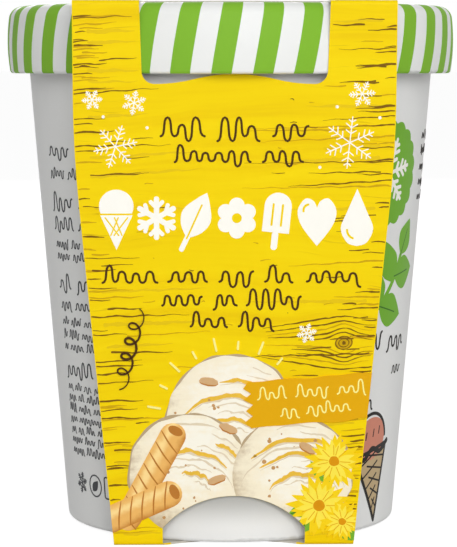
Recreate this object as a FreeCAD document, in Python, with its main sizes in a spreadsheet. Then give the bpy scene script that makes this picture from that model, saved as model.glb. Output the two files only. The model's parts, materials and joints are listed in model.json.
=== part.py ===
import FreeCAD, Part
import math
import os
import Sketcher

# A round paper tub of ice cream, shut by a cap lid and held in a flat cardboard band.
# Millimetres. +Z is up and the front faces -Y. The origin is on the ground, at the middle
# of the band's base.
#
#   tub     tapered wall with a rolled rim, filled, standing on a shallow foot ring
#   lid     cap with a bulging skirt, a round shoulder and a sunken top panel
#   band    closed loop of board: base, front, top and back panels, two windows that the
#           lid bulges through, and two arches over the tub's foot

DRIVING_SIZES = (
    ("board", 0.4, "thickness of the band's cardboard"),
    ("tub_height", 110.1, "foot to the top of the rolled rim"),
    ("tub_base_radius", 35.78, "outside of the wall, carried down to the foot"),
    ("tub_mouth_radius", 44.65, "outside of the wall, carried up to the middle of the roll"),
    ("roll_radius", 2.0, "rolled rim, half its thickness"),
    ("foot_corner", 1.0, "rounding between the wall and the foot"),
    ("foot_width", 2.2, "foot ring"),
    ("foot_recess", 4.0, "height of the base above the foot"),
    ("lid_clearance", 0.4, "between the lid and the rolled rim"),
    ("lid_wall", 1.45, "skirt at its widest"),
    ("lid_crown", 1.2, "lid over the rolled rim"),
    ("skirt_depth", 14.3, "top of the lid to the skirt's edge"),
    ("bulge_radius", 40.0, "curve of the skirt, seen from the side"),
    ("bulge_height", 7.0, "widest place of the skirt above its edge"),
    ("shoulder_radius", 2.8, "between the skirt and the top"),
    ("skirt_edge_radius", 0.8, "outer corner of the skirt's edge"),
    ("rim_wall", 1.0, "raised rim, between the top panel and the roll"),
    ("rim_edge_radius", 0.7, "inner corner of the raised rim"),
    ("panel_recess", 1.6, "top panel below the raised rim"),
    ("panel_thickness", 1.0, "top panel of the lid"),
    ("band_gap", 0.2, "between the band and what it wraps"),
    ("band_width", 65.0, "across the band at the top"),
    ("band_base_width", 49.6, "across the band at the base"),
    ("taper_height", 81.9, "where the slanted and the upright edges would meet"),
    ("taper_blend", 240.0, "curve between the slanted and the upright edges"),
    ("fold_radius", 0.5, "inside of each fold"),
    ("window_width", 38.2, "opening that the lid bulges through, at the top fold"),
    ("window_base_width", 37.2, "the same opening at its lower edge"),
    ("window_corner", 2.6, "lower corners of the window"),
    ("window_drop", 2.0, "troughs of the window's lower edge below the lid's edge"),
    ("wave_rise", 2.0, "crest of the window's lower edge above its troughs"),
    ("notch_depth", 7.0, "window carried over the fold on to the top"),
    ("arch_width", 29.4, "opening at the foot"),
    ("arch_side", 3.4, "upright sides of the arch"),
    ("arch_height", 10.1, "arch at its middle"),
    ("foot_notch_depth", 5.0, "arch carried over the fold under the base"),
)

CUT_MARGIN = 1.0  # how far a cut runs past what it cuts
LEFT = 1  # an arc that bends to the left on its way
RIGHT = -1


class Size:
    """A number together with the sheet formula that keeps it up to date."""

    def __init__(self, value, formula=None):
        self.value = float(value)
        self.formula = formula or repr(float(value))

    def __add__(self, other):
        other = as_size(other)
        return Size(self.value + other.value, f"({self.formula} + {other.formula})")

    def __sub__(self, other):
        other = as_size(other)
        return Size(self.value - other.value, f"({self.formula} - {other.formula})")

    def __mul__(self, other):
        other = as_size(other)
        return Size(self.value * other.value, f"({self.formula} * {other.formula})")

    def __truediv__(self, other):
        other = as_size(other)
        return Size(self.value / other.value, f"({self.formula} / {other.formula})")

    def __neg__(self):
        return Size(-self.value, f"(0 - {self.formula})")

    __radd__ = __add__
    __rmul__ = __mul__


def as_size(number):
    return number if isinstance(number, Size) else Size(number)


def root(size):
    return Size(math.sqrt(size.value), f"sqrt({size.formula})")


def larger(first, second):
    return Size(max(first.value, second.value), f"max({first.formula}; {second.formula})")


def leg(hypotenuse, other_leg):
    """The second short side of a right triangle."""
    return root(hypotenuse * hypotenuse - other_leg * other_leg)


def slant(rise_per_run):
    """Length along a slope for each unit across it."""
    return root(1 + rise_per_run * rise_per_run)


class Outline:
    """A closed outline in a sketch, drawn corner by corner and fully tied to the sheet."""

    def __init__(self, sketch, u, v):
        self.sketch = sketch
        self.first = (as_size(u), as_size(v))
        self.here = self.first
        self.first_end = None
        self.last_end = None

    def line_to(self, u, v):
        target = (as_size(u), as_size(v))
        segment = Part.LineSegment(vector(self.here), vector(target))
        self._add(segment, target, (1, 2))
        return self

    def arc_to(self, u, v, radius, bend):
        """An arc shorter than a half circle, from here to (u, v)."""
        target = (as_size(u), as_size(v))
        radius = as_size(radius)
        start, end = vector(self.here), vector(target)
        chord = end - start
        offset = math.sqrt(radius.value**2 - (chord.Length / 2) ** 2)
        towards_centre = FreeCAD.Vector(-chord.y, chord.x, 0).normalize() * (offset * bend)
        centre = (start + end) / 2 + towards_centre
        if bend == LEFT:
            low, high, ends = start, end, (1, 2)
        else:
            low, high, ends = end, start, (2, 1)
        circle = Part.Circle(centre, FreeCAD.Vector(0, 0, 1), radius.value)
        angles = [math.atan2(point.y - centre.y, point.x - centre.x) for point in (low, high)]
        index = self._add(Part.ArcOfCircle(circle, *angles), target, ends)
        bind(self.sketch, Sketcher.Constraint("Radius", index, radius.value), radius)
        return self

    def close(self):
        """Ends the outline on its first corner."""
        self.line_to(*self.first)
        self.join(self.last_end, self.first_end)

    def join(self, one, other):
        self.sketch.addConstraint(Sketcher.Constraint("Coincident", *one, *other))

    def _add(self, shape, target, ends):
        index = self.sketch.addGeometry(shape, False)
        if self.last_end is None:
            self.first_end = (index, ends[0])
        else:
            self.join(self.last_end, (index, ends[0]))
        self.last_end = (index, ends[1])
        self.here = target
        pin_point(self.sketch, self.last_end, target)
        return index


def vector(corner):
    return FreeCAD.Vector(corner[0].value, corner[1].value, 0)


def bind(sketch, constraint, size):
    index = sketch.addConstraint(constraint)
    sketch.setExpression(f"Constraints[{index}]", size.formula)


def pin_point(sketch, point, corner):
    """Ties a point to its distances from the sketch's two axes."""
    origin = (-1, 1)
    for size, kind, axis in zip(corner, ("DistanceX", "DistanceY"), (-2, -1)):
        if size.value == 0:
            sketch.addConstraint(Sketcher.Constraint("PointOnObject", *point, axis))
        elif size.value > 0:
            bind(sketch, Sketcher.Constraint(kind, *origin, *point, size.value), size)
        else:
            bind(sketch, Sketcher.Constraint(kind, *point, *origin, -size.value), -size)


def make_sheet(doc):
    """Writes the driving sizes to the sheet and returns them by name."""
    sheet = doc.addObject("Spreadsheet::Sheet", "Sizes")
    sizes = {}
    for row, (alias, value, meaning) in enumerate(DRIVING_SIZES, start=1):
        sheet.set(f"A{row}", str(value))
        sheet.setAlias(f"A{row}", alias)
        sheet.set(f"B{row}", meaning)
        sizes[alias] = Size(value, f"Sizes.{alias}")
    doc.recompute()
    return sizes


def make_body(doc, label):
    body = doc.addObject("PartDesign::Body", label)
    body.Label = label
    return body


def make_sketch(body, name, role):
    """A sketch on one of the body's own origin planes."""
    plane = next(item for item in body.Origin.OriginFeatures if item.Role == role)
    sketch = body.newObject("Sketcher::SketchObject", name)
    sketch.AttachmentSupport = [(plane, "")]
    sketch.MapMode = "FlatFace"
    return sketch


def revolve(body, sketch, name):
    turned = body.newObject("PartDesign::Revolution", name)
    turned.Profile = sketch
    turned.ReferenceAxis = (sketch, ["V_Axis"])
    turned.Angle = 360
    body.Document.recompute()


def pocket(body, sketch, name, depth=None, upwards=False):
    """Cuts the sketch to a depth, or right through both ways, and checks that it cut."""
    before = body.Shape.Volume
    cut = body.newObject("PartDesign::Pocket", name)
    cut.Profile = sketch
    if depth is None:
        cut.Type = "ThroughAll"
        cut.SideType = "Symmetric"
    else:
        cut.Type = "Length"
        cut.setExpression("Length", depth.formula)
        cut.Reversed = upwards
    body.Document.recompute()
    if body.Shape.Volume > before - 1:
        raise RuntimeError(f"{name} cut nothing")


def lid_levels(size):
    """Heights and radii that the lid, the filling and the band share."""
    top = size["board"] + size["tub_height"] + size["lid_crown"]
    edge = top - size["skirt_depth"]
    inner = size["tub_mouth_radius"] + size["roll_radius"] + size["lid_clearance"]
    return {
        "top": top,
        "edge": edge,
        "panel_top": top - size["panel_recess"],
        "panel_under": top - size["panel_recess"] - size["panel_thickness"],
        "widest": edge + size["bulge_height"],
        "inner": inner,
        "outer": inner + size["lid_wall"],
    }


def wall_taper(size):
    """How far the tub's wall leans out for each unit of height."""
    height = size["tub_height"] - size["roll_radius"]
    return (size["tub_mouth_radius"] - size["tub_base_radius"]) / height


def make_tub(doc, size):
    """Filled tub: foot ring, tapered wall and rolled rim, turned about Z."""
    body = make_body(doc, "tub")
    sketch = make_sketch(body, "tub_profile", "XZ_Plane")
    foot = size["board"]
    roll = size["roll_radius"]
    mouth = size["tub_mouth_radius"]
    roll_level = foot + size["tub_height"] - roll
    taper = wall_taper(size)
    along = slant(taper)
    corner = size["foot_corner"]
    corner_radius = size["tub_base_radius"] + corner * taper - corner * along
    base = foot + size["foot_recess"]
    ring = size["tub_base_radius"] - size["foot_width"]
    fill = lid_levels(size)["panel_under"]
    outline = Outline(sketch, 0, base)
    outline.line_to(ring, base)
    outline.line_to(ring, foot)
    outline.line_to(corner_radius, foot)
    outline.arc_to(
        corner_radius + corner / along, foot + corner - corner * taper / along, corner, LEFT
    )
    outline.line_to(mouth - roll * taper / along, roll_level - roll / along)
    outline.arc_to(mouth + roll, roll_level, roll, LEFT)
    outline.arc_to(mouth, roll_level + roll, roll, LEFT)
    outline.arc_to(mouth - leg(roll, fill - roll_level), fill, roll, LEFT)
    outline.line_to(0, fill)
    outline.close()
    revolve(body, sketch, "tub_turned")
    return body


def bulge_meets(size, radius, below):
    """Where a small corner arc runs smoothly into the skirt's long curve.

    radius is the corner's, and below is how far its centre lies under the widest place.
    Gives the corner's centre radius, then the radius and the depth of the meeting place.
    """
    long = size["bulge_radius"]
    middle = lid_levels(size)["outer"] - long
    reach = leg(long - radius, below)
    scale = long / (long - radius)
    return middle + reach, middle + reach * scale, below * scale


def make_lid(doc, size):
    """Cap: channel over the rolled rim, bulging skirt, round shoulder and sunken panel."""
    body = make_body(doc, "lid")
    sketch = make_sketch(body, "lid_profile", "XZ_Plane")
    level = lid_levels(size)
    channel = size["tub_mouth_radius"] - size["roll_radius"] - size["lid_clearance"]
    rim = channel - size["rim_wall"]
    crown = level["top"] - size["lid_crown"]
    edge_radius = size["skirt_edge_radius"]
    shoulder = size["shoulder_radius"]
    rim_edge = size["rim_edge_radius"]
    low_centre, low_out, low_drop = bulge_meets(size, edge_radius, size["bulge_height"] - edge_radius)
    rise = level["top"] - level["widest"] - shoulder
    high_centre, high_out, high_rise = bulge_meets(size, shoulder, rise)
    outline = Outline(sketch, 0, level["panel_under"])
    outline.line_to(channel, level["panel_under"])
    outline.line_to(channel, crown)
    outline.line_to(level["inner"], crown)
    outline.line_to(level["inner"], level["edge"])
    outline.line_to(low_centre, level["edge"])
    outline.arc_to(low_out, level["widest"] - low_drop, edge_radius, LEFT)
    outline.arc_to(high_out, level["widest"] + high_rise, size["bulge_radius"], LEFT)
    outline.arc_to(high_centre, level["top"], shoulder, LEFT)
    outline.line_to(rim + rim_edge, level["top"])
    outline.arc_to(rim, level["top"] - rim_edge, rim_edge, LEFT)
    outline.line_to(rim, level["panel_top"])
    outline.line_to(0, level["panel_top"])
    outline.close()
    revolve(body, sketch, "lid_turned")
    return body


class BandSection:
    """The band seen from the side: two leaning panels between the base and the top."""

    def __init__(self, size):
        level = lid_levels(size)
        self.board = size["board"]
        self.height = level["top"] + self.board
        self.foot_depth = size["tub_base_radius"] + size["band_gap"]
        self.gap = size["band_gap"]
        edge_radius = size["skirt_edge_radius"]
        _, edge_out, edge_drop = bulge_meets(size, edge_radius, size["bulge_height"] - edge_radius)
        along_wall = wall_taper(size)
        over_bulge = self._lean_over(size, level["outer"], level["widest"])
        over_edge = self._lean_over(size, edge_out, level["widest"] - edge_drop)
        self.lean = larger(along_wall, larger(over_bulge, over_edge))

    def _lean_over(self, size, radius, z):
        """Lean that clears a ring of the lid, which pokes through the window between its sides."""
        contact = leg(radius, window_half(size, z)) + self.gap
        return (contact - self.foot_depth) / (z - self.board)

    def inner_depth(self, z):
        """Half the depth inside the panels at height z."""
        return self.foot_depth + self.lean * (z - self.board)

    def outer_depth(self, z):
        return self.inner_depth(z) + self.board * slant(self.lean)


def window_half(size, z):
    """Half the window's width at height z: its sides lean out a little towards the top."""
    level = lid_levels(size)
    trough = level["edge"] - size["window_drop"]
    spread = (size["window_width"] - size["window_base_width"]) / 2
    return size["window_base_width"] / 2 + spread * (z - trough) / (level["top"] - trough)


def fold_edges(shape, depths_by_height):
    """Names of the edges along X at the given half depths and heights."""
    names = []
    for number, edge in enumerate(shape.Edges, start=1):
        box = edge.BoundBox
        if box.XLength < 1 or box.YLength > 0.001 or box.ZLength > 0.001:
            continue
        for depth, z in depths_by_height:
            if abs(abs(box.Center.y) - depth.value) < 0.01 and abs(box.Center.z - z.value) < 0.01:
                names.append(f"Edge{number}")
    return names


def round_folds(body, name, radius, depths_by_height):
    """Rounds one side of the band's four folds."""
    base = body.Tip
    edges = fold_edges(base.Shape, depths_by_height)
    if len(edges) != 2 * len(depths_by_height):
        raise RuntimeError(f"{name}: {len(edges)} edges found")
    fillet = body.newObject("PartDesign::Fillet", name)
    fillet.Base = (base, edges)
    fillet.setExpression("Radius", radius.formula)
    body.Document.recompute()


def draw_wave_mouth(sketch, size, trough, mouth, up, halves):
    """Outline open at the mouth, with rounded corners and a waved far edge.

    trough and mouth are distances along the sketch's second axis, and up is 1 or -1, the
    way from the trough to the mouth. halves are half the width at the trough and the mouth.
    """
    low_half, half = halves
    corner = size["window_corner"]
    rise = size["wave_rise"]
    spread = (half - low_half) / ((mouth - trough) * up)
    along = slant(spread)
    flat = low_half - corner * (along - spread)
    side = flat + corner / along
    turn = corner - corner * spread / along
    wave_radius = (flat * flat + rise * rise) / (rise * 4)
    bend = LEFT * up

    def level(height):
        return trough + height * up

    outline = Outline(sketch, -half, mouth)
    outline.line_to(-side, level(turn))
    outline.arc_to(-flat, trough, corner, bend)
    outline.arc_to(-(flat / 2), level(rise / 2), wave_radius, bend)
    outline.arc_to(flat / 2, level(rise / 2), wave_radius, -bend)
    outline.arc_to(flat, trough, wave_radius, bend)
    outline.arc_to(side, level(turn), corner, bend)
    outline.line_to(half, mouth)
    outline.close()


def draw_arch(sketch, half, foot, side, rise, up):
    """Outline of an arch that stands on foot, with upright sides and a round head."""
    spring = foot + side * up
    radius = (half * half + rise * rise) / (rise * 2)
    outline = Outline(sketch, -half, foot)
    outline.line_to(-half, spring)
    outline.arc_to(0, spring + rise * up, radius, RIGHT * up)
    outline.arc_to(half, spring, radius, RIGHT * up)
    outline.line_to(half, foot)
    outline.close()


def draw_side_cuts(sketch, size):
    """What is trimmed off both sides of the band, from the base up to the blend."""
    half = size["band_width"] / 2
    base_half = size["band_base_width"] / 2
    corner = size["taper_height"]
    taper = (half - base_half) / corner
    along = slant(taper)
    tangent = size["taper_blend"] * taper / (1 + along)
    for side in (1, -1):
        outline = Outline(sketch, (base_half - taper * CUT_MARGIN) * side, -CUT_MARGIN)
        outline.line_to((half - tangent * taper / along) * side, corner - tangent / along)
        outline.arc_to(half * side, corner + tangent, size["taper_blend"], LEFT * side)
        outline.line_to((half + CUT_MARGIN) * side, corner + tangent)
        outline.line_to((half + CUT_MARGIN) * side, -CUT_MARGIN)
        outline.close()


def make_band(doc, size):
    """Closed loop of board round the front, the top, the back and the base."""
    body = make_body(doc, "band")
    section = BandSection(size)
    board, height = section.board, section.height
    ground = Size(0)
    under_top = height - board

    profile = make_sketch(body, "band_section", "YZ_Plane")
    for depth, low, high in (
        (section.outer_depth, ground, height),
        (section.inner_depth, board, under_top),
    ):
        outline = Outline(profile, -depth(low), low)
        outline.line_to(depth(low), low)
        outline.line_to(depth(high), high)
        outline.line_to(-depth(high), high)
        outline.close()
    loop = body.newObject("PartDesign::Pad", "band_loop")
    loop.Profile = profile
    loop.SideType = "Symmetric"
    loop.setExpression("Length", size["band_width"].formula)
    doc.recompute()

    inside = [(section.inner_depth(z), z) for z in (board, under_top)]
    outside = [(section.outer_depth(z), z) for z in (ground, height)]
    round_folds(body, "folds_inside", size["fold_radius"], inside)
    round_folds(body, "folds_outside", size["fold_radius"] + board, outside)

    sides = make_sketch(body, "side_trim", "XZ_Plane")
    draw_side_cuts(sides, size)
    pocket(body, sides, "sides_trimmed")

    window = make_sketch(body, "window_shape", "XZ_Plane")
    trough = lid_levels(size)["edge"] - size["window_drop"]
    halves = [window_half(size, z) for z in (trough, under_top)]
    draw_wave_mouth(window, size, trough, under_top, 1, halves)
    pocket(body, window, "windows")

    arch = make_sketch(body, "arch_shape", "XZ_Plane")
    half_arch = size["arch_width"] / 2
    draw_arch(arch, half_arch, board, size["arch_side"], size["arch_height"] - size["arch_side"], 1)
    pocket(body, arch, "arches")

    notch = make_sketch(body, "top_notch_shape", "XY_Plane")
    notch.setExpression("AttachmentOffset.Base.z", height.formula)
    front = section.outer_depth(height)
    far_edge = front - size["notch_depth"] - size["wave_rise"]
    halves = [size["window_width"] / 2] * 2
    for up in (1, -1):
        draw_wave_mouth(notch, size, far_edge * up, (front + CUT_MARGIN) * up, up, halves)
    pocket(body, notch, "top_notches", depth=board + CUT_MARGIN)

    foot_notch = make_sketch(body, "foot_notch_shape", "XY_Plane")
    front = section.outer_depth(ground)
    rise = size["foot_notch_depth"]
    for up in (1, -1):
        draw_arch(foot_notch, half_arch, -(front + CUT_MARGIN) * up, as_size(CUT_MARGIN), rise, up)
    pocket(body, foot_notch, "foot_notches", depth=board + CUT_MARGIN, upwards=True)
    return body


def check_document(doc, bodies):
    """Stops if any object failed, or any sub-part isn't one valid solid."""
    for item in doc.Objects:
        if "Invalid" in item.State or "Error" in item.State:
            raise RuntimeError(f"{item.Name} failed: {item.State}")
    for body in bodies:
        shape = body.Shape
        if shape.isNull() or not shape.isValid() or len(shape.Solids) != 1:
            raise RuntimeError(f"{body.Label} isn't one valid solid")


def main():
    doc = FreeCAD.newDocument("ice_cream_tub")
    size = make_sheet(doc)
    bodies = [make_tub(doc, size), make_lid(doc, size), make_band(doc, size)]
    doc.recompute()
    check_document(doc, bodies)
    os.makedirs("parts", exist_ok=True)
    for body in bodies:
        body.Shape.exportStep(f"parts/{body.Label}.step")
        box = body.Shape.BoundBox
        print(
            f"{body.Label}: {body.Shape.Volume / 1000:.2f} cm3, "
            f"x {box.XMin:.2f} to {box.XMax:.2f}, y {box.YMin:.2f} to {box.YMax:.2f}, "
            f"z {box.ZMin:.2f} to {box.ZMax:.2f}"
        )


main()
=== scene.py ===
"""Looks of a shut round tub of ice cream: striped cap lid, paper wall, cardboard band.

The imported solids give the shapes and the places. This script dresses them in paper, plastic
and board, lays every print on them as thin closed plates of ink, and sets up a plain studio.
Print and places are written in millimetres, and each Surface turns them into metres.
"""

from __future__ import annotations

import json
import logging
import math
import random
from collections.abc import Callable, Sequence
from dataclasses import dataclass, field
from enum import Enum
from typing import Protocol

import bpy
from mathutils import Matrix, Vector, geometry

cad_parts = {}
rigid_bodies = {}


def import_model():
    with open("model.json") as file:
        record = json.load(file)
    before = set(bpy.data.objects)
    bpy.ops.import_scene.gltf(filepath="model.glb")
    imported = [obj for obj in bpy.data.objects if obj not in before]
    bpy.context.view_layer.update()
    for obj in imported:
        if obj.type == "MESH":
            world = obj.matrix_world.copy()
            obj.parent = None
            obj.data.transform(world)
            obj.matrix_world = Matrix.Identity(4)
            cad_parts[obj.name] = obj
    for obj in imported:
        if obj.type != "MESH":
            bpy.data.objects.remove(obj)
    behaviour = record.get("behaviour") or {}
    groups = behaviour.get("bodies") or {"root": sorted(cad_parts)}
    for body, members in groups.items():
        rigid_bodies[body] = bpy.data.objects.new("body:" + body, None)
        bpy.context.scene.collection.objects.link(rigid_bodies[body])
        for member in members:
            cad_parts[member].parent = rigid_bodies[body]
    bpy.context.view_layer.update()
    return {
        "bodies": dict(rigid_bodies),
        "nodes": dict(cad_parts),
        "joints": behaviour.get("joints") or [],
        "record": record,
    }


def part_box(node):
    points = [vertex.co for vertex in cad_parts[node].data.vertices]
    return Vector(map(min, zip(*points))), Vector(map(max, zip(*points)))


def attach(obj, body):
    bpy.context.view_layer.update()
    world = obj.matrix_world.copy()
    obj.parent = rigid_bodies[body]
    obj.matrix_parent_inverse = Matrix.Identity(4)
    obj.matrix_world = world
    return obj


LOG = logging.getLogger("ice_cream_bucket")
BODY = "root"
MM = 0.001

Point = tuple[float, float]
Path = list[Point]
Colour = tuple[float, float, float]
Face = tuple[int, ...]
Socket = bpy.types.NodeSocket
INK_RELIEF = (0.00001, 0.4)  # depth in metres and strength


class Slot(Enum):
    """Material slots of the record."""

    TUB = "tub_paper"
    LID = "lid_plastic"
    BAND = "band_board"


class Side(Enum):
    """Which of the band's two panels, as the sign of its place along Y."""

    FRONT = -1
    BACK = 1


def linear(colour: Colour) -> tuple[float, float, float, float]:
    """Turns a display colour into the values that a shader takes.

    Args:
        colour: Red, green and blue from 0 to 255.

    Returns:
        The linear colour, with full alpha.
    """
    parts = [value / 255 for value in colour]
    bent = [p / 12.92 if p <= 0.04045 else ((p + 0.055) / 1.055) ** 2.4 for p in parts]
    return (bent[0], bent[1], bent[2], 1.0)


# ---------------------------------------------------------------- places and surfaces


@dataclass(frozen=True)
class PackPlaces:
    """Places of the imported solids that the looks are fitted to, in millimetres."""

    height: float
    lid_top: float
    lid_edge: float
    lid_radius: float
    foot: float
    wall_low: Point
    wall_high: Point
    panel_low: Point
    panel_high: Point
    band_half: float

    LOW_PART = (0.03, 0.12)  # shares of the height where the panels' slope is measured
    HIGH_PART = (0.84, 0.88)

    @classmethod
    def measure(cls, frame: dict) -> PackPlaces:
        """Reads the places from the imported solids.


        Returns:
            The measured places.
        """
        band = node_points(frame["nodes"]["band"])
        tub = node_points(frame["nodes"]["tub"])
        height = max(p.z for p in band)
        inside_wall = 35  # a radius between the recess of the base and the wall
        outer = [p for p in tub if math.hypot(p.x, p.y) > inside_wall]
        low_z = max(p.z for p in outer if p.z < height / 2)
        high_z = min(p.z for p in outer if p.z > height / 2)
        lid_low, lid_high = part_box("lid")
        return cls(
            height=height,
            lid_top=lid_high.z / MM,
            lid_edge=lid_low.z / MM,
            lid_radius=(lid_high.x - lid_low.x) / 2 / MM,
            foot=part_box("tub")[0].z / MM,
            wall_low=(low_z, ring_radius(outer, low_z)),
            wall_high=(high_z, ring_radius(outer, high_z)),
            panel_low=outermost_depth(band, height * cls.LOW_PART[0], height * cls.LOW_PART[1]),
            panel_high=outermost_depth(band, height * cls.HIGH_PART[0], height * cls.HIGH_PART[1]),
            band_half=max(p.x for p in band),
        )

    def wall_radius(self, z: float) -> float:
        """Radius of the tub's wall at a height."""
        return on_line(self.wall_low, self.wall_high, z)

    def panel_depth(self, z: float) -> float:
        """Distance of a panel's outside from the middle plane at a height."""
        return on_line(self.panel_low, self.panel_high, z)


def node_points(node: bpy.types.Object) -> list[Vector]:
    """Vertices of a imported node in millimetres."""
    return [vertex.co / MM for vertex in node.data.vertices]


def ring_radius(points: Sequence[Vector], level: float) -> float:
    """Largest radius among the points at a height."""
    return max(math.hypot(p.x, p.y) for p in points if abs(p.z - level) < 0.05)


def outermost_depth(points: Sequence[Vector], low: float, high: float) -> Point:
    """Height and depth of the point farthest from the middle plane between two heights."""
    best = max((p for p in points if low < p.z < high), key=lambda p: abs(p.y))
    return (best.z, abs(best.y))


def on_line(first: Point, second: Point, at: float) -> float:
    """Value at a place on the line through two (place, value) points."""
    slope = (second[1] - first[1]) / (second[0] - first[0])
    return first[1] + slope * (at - first[0])


def around(radius: float, turn: float, z: float) -> Vector:
    """Point in metres at a radius and a turn in radians from the front."""
    return Vector((radius * math.sin(turn), -radius * math.cos(turn), z)) * MM


class Surface(Protocol):
    """A printed surface with its own flat coordinates in millimetres."""

    reach: float  # longest straight step that stays on the surface

    def place(self, u: float, v: float, lift: float) -> Vector:
        """Point in metres, lift millimetres proud of the surface."""
        ...


@dataclass(frozen=True)
class Panel:
    """Front or back panel of the band. u runs to the right of who looks at it, v is height."""

    places: PackPlaces
    side: Side = Side.FRONT
    reach: float = 50.0

    def place(self, u: float, v: float, lift: float) -> Vector:
        """Point in metres, lift millimetres proud of the panel."""
        sign, depth = self.side.value, self.places.panel_depth(v) + lift
        return Vector((-sign * u, sign * depth, v)) * MM


@dataclass(frozen=True)
class Flat:
    """A level face, such as the band's top. u runs along X and v along Y."""

    level: float
    reach: float = 50.0

    def place(self, u: float, v: float, lift: float) -> Vector:
        """Point in metres, lift millimetres above the face."""
        return Vector((u, v, self.level + lift)) * MM


@dataclass(frozen=True)
class Wall:
    """The tub's round wall. u runs to the right round a heading in degrees, v is height."""

    places: PackPlaces
    heading: float
    middle_radius: float = 40.0
    reach: float = 1.3

    def place(self, u: float, v: float, lift: float) -> Vector:
        """Point in metres, lift millimetres proud of the wall."""
        turn = math.radians(self.heading) + u / self.middle_radius
        return around(self.places.wall_radius(v) + lift, turn, v)


@dataclass(frozen=True)
class LidSkin:
    """Outside of the lid, from the skirt's edge over the shoulder to the raised rim."""

    places: PackPlaces
    bulge_radius: float = 40.0
    bulge_height: float = 7.0
    shoulder_radius: float = 2.8
    edge_radius: float = 0.8
    rim_radius: float = 41.95
    steps: int = 10

    def profile(self) -> Path:
        """The outline that the lid is turned from.

        Returns:
            Points (radius, height) in millimetres, from the edge to the rim.
        """
        widest = self.places.lid_edge + self.bulge_height
        middle = self.places.lid_radius - self.bulge_radius
        low, low_turn = self._corner(self.edge_radius, self.places.lid_edge + self.edge_radius)
        high, high_turn = self._corner(
            self.shoulder_radius, self.places.lid_top - self.shoulder_radius
        )
        points = arc(low, self.edge_radius, -65, low_turn, self.steps)
        points += arc((middle, widest), self.bulge_radius, low_turn, high_turn, self.steps)[1:]
        points += arc(high, self.shoulder_radius, high_turn, 90, self.steps)[1:]
        points += [(on_line((0, high[0]), (1, self.rim_radius), part), points[-1][1])
                   for part in (0.5, 1.0)]
        return points

    def _corner(self, radius: float, level: float) -> tuple[Point, float]:
        """Centre of a corner arc that runs into the bulge, and the angle where they meet.

        Args:
            radius: Radius of the corner.
            level: Height of the flat that it ends on.

        Returns:
            Centre of the arc and the angle where the two meet.
        """
        rise = level - self.places.lid_edge - self.bulge_height
        run = math.sqrt((self.bulge_radius - radius) ** 2 - rise**2)
        centre = (self.places.lid_radius - self.bulge_radius + run, level)
        return centre, math.degrees(math.atan2(rise, run))


# ---------------------------------------------------------------- drawing


def arc(centre: Point, radius: float, start: float, end: float, steps: int) -> Path:
    """Points of an arc between two angles in degrees, in a number of equal chords."""
    turns = [math.radians(start + (end - start) * step / steps) for step in range(steps + 1)]
    return [(centre[0] + radius * math.cos(t), centre[1] + radius * math.sin(t)) for t in turns]


def smooth(points: Sequence[Point], steps: int = 5, closed: bool = False) -> Path:
    """Draws a smooth curve through points.

    Args:
        points: What the curve passes through.
        steps: Chords between two points.
        closed: Whether it returns to its first point.

    Returns:
        The curve's points, without the first one repeated.
    """
    count = len(points)
    spans = count if closed else count - 1
    curve: Path = []
    for index in range(spans):
        if closed:
            p0, p1, p2, p3 = (points[(index + shift) % count] for shift in (-1, 0, 1, 2))
        else:
            p1, p2 = points[index], points[index + 1]
            p0 = points[index - 1] if index else p1
            p3 = points[index + 2] if index + 2 < count else p2
        for step in range(steps):
            t = step / steps
            curve.append(tuple(
                0.5 * (2 * b + (c - a) * t + (2 * a - 5 * b + 4 * c - d) * t**2
                       + (3 * b - a - 3 * c + d) * t**3)
                for a, b, c, d in zip(p0, p1, p2, p3)
            ))
    if not closed:
        curve.append(tuple(points[-1]))
    return curve


def ellipse(centre: Point, across: float, along: float, turn: float = 0.0, steps: int = 28) -> Path:
    """Outline of an ellipse of half its width and height, turned to the left in degrees."""
    return move(arc((0, 0), 1, 0, 360, steps)[:-1], centre, turn, across, along)


def move(path: Sequence[Point], to: Point, turn: float = 0.0,
         width: float = 1.0, height: float | None = None) -> Path:
    """Scales, turns and moves a drawing.

    Args:
        path: Points round the origin.
        to: Where the origin goes.
        turn: Turn to the left in degrees.
        width: Scale along u.
        height: Scale along v, which is else the same.

    Returns:
        The new points.
    """
    tall = width if height is None else height
    cos, sin = math.cos(math.radians(turn)), math.sin(math.radians(turn))
    scaled = [(u * width, v * tall) for u, v in path]
    return [(to[0] + u * cos - v * sin, to[1] + u * sin + v * cos) for u, v in scaled]


def scribble(rng: random.Random, start: float, end: float, base: float, height: float) -> Path:
    """One word of pen scribble: an uneven round wave that spells nothing.

    Args:
        rng: Source of its unevenness.
        start: Where it starts.
        end: Where it ends.
        base: Height of its low turns.
        height: Height of its waves.

    Returns:
        A smooth path.
    """
    turns = max(3, round((end - start) / (height * 0.43)))
    corners: Path = []
    for turn in range(turns + 1):
        reach = rng.choice((0.62, 0.7, 0.74, 1.15)) if turn % 2 else rng.choice((-0.3, 0.0, 0.0, 0.06))
        shift = rng.uniform(-0.07, 0.07) * height
        corners.append((start + (end - start) * turn / turns + shift, base + reach * height))
    path: Path = []
    for (u0, v0), (u1, v1) in zip(corners, corners[1:]):
        for step in range(7):
            share = step / 7
            along = share + 0.12 * math.sin(2 * math.pi * share)
            path.append((u0 + (u1 - u0) * along, v0 + (v1 - v0) * (1 - math.cos(math.pi * share)) / 2))
    return [*path, corners[-1]]


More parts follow.
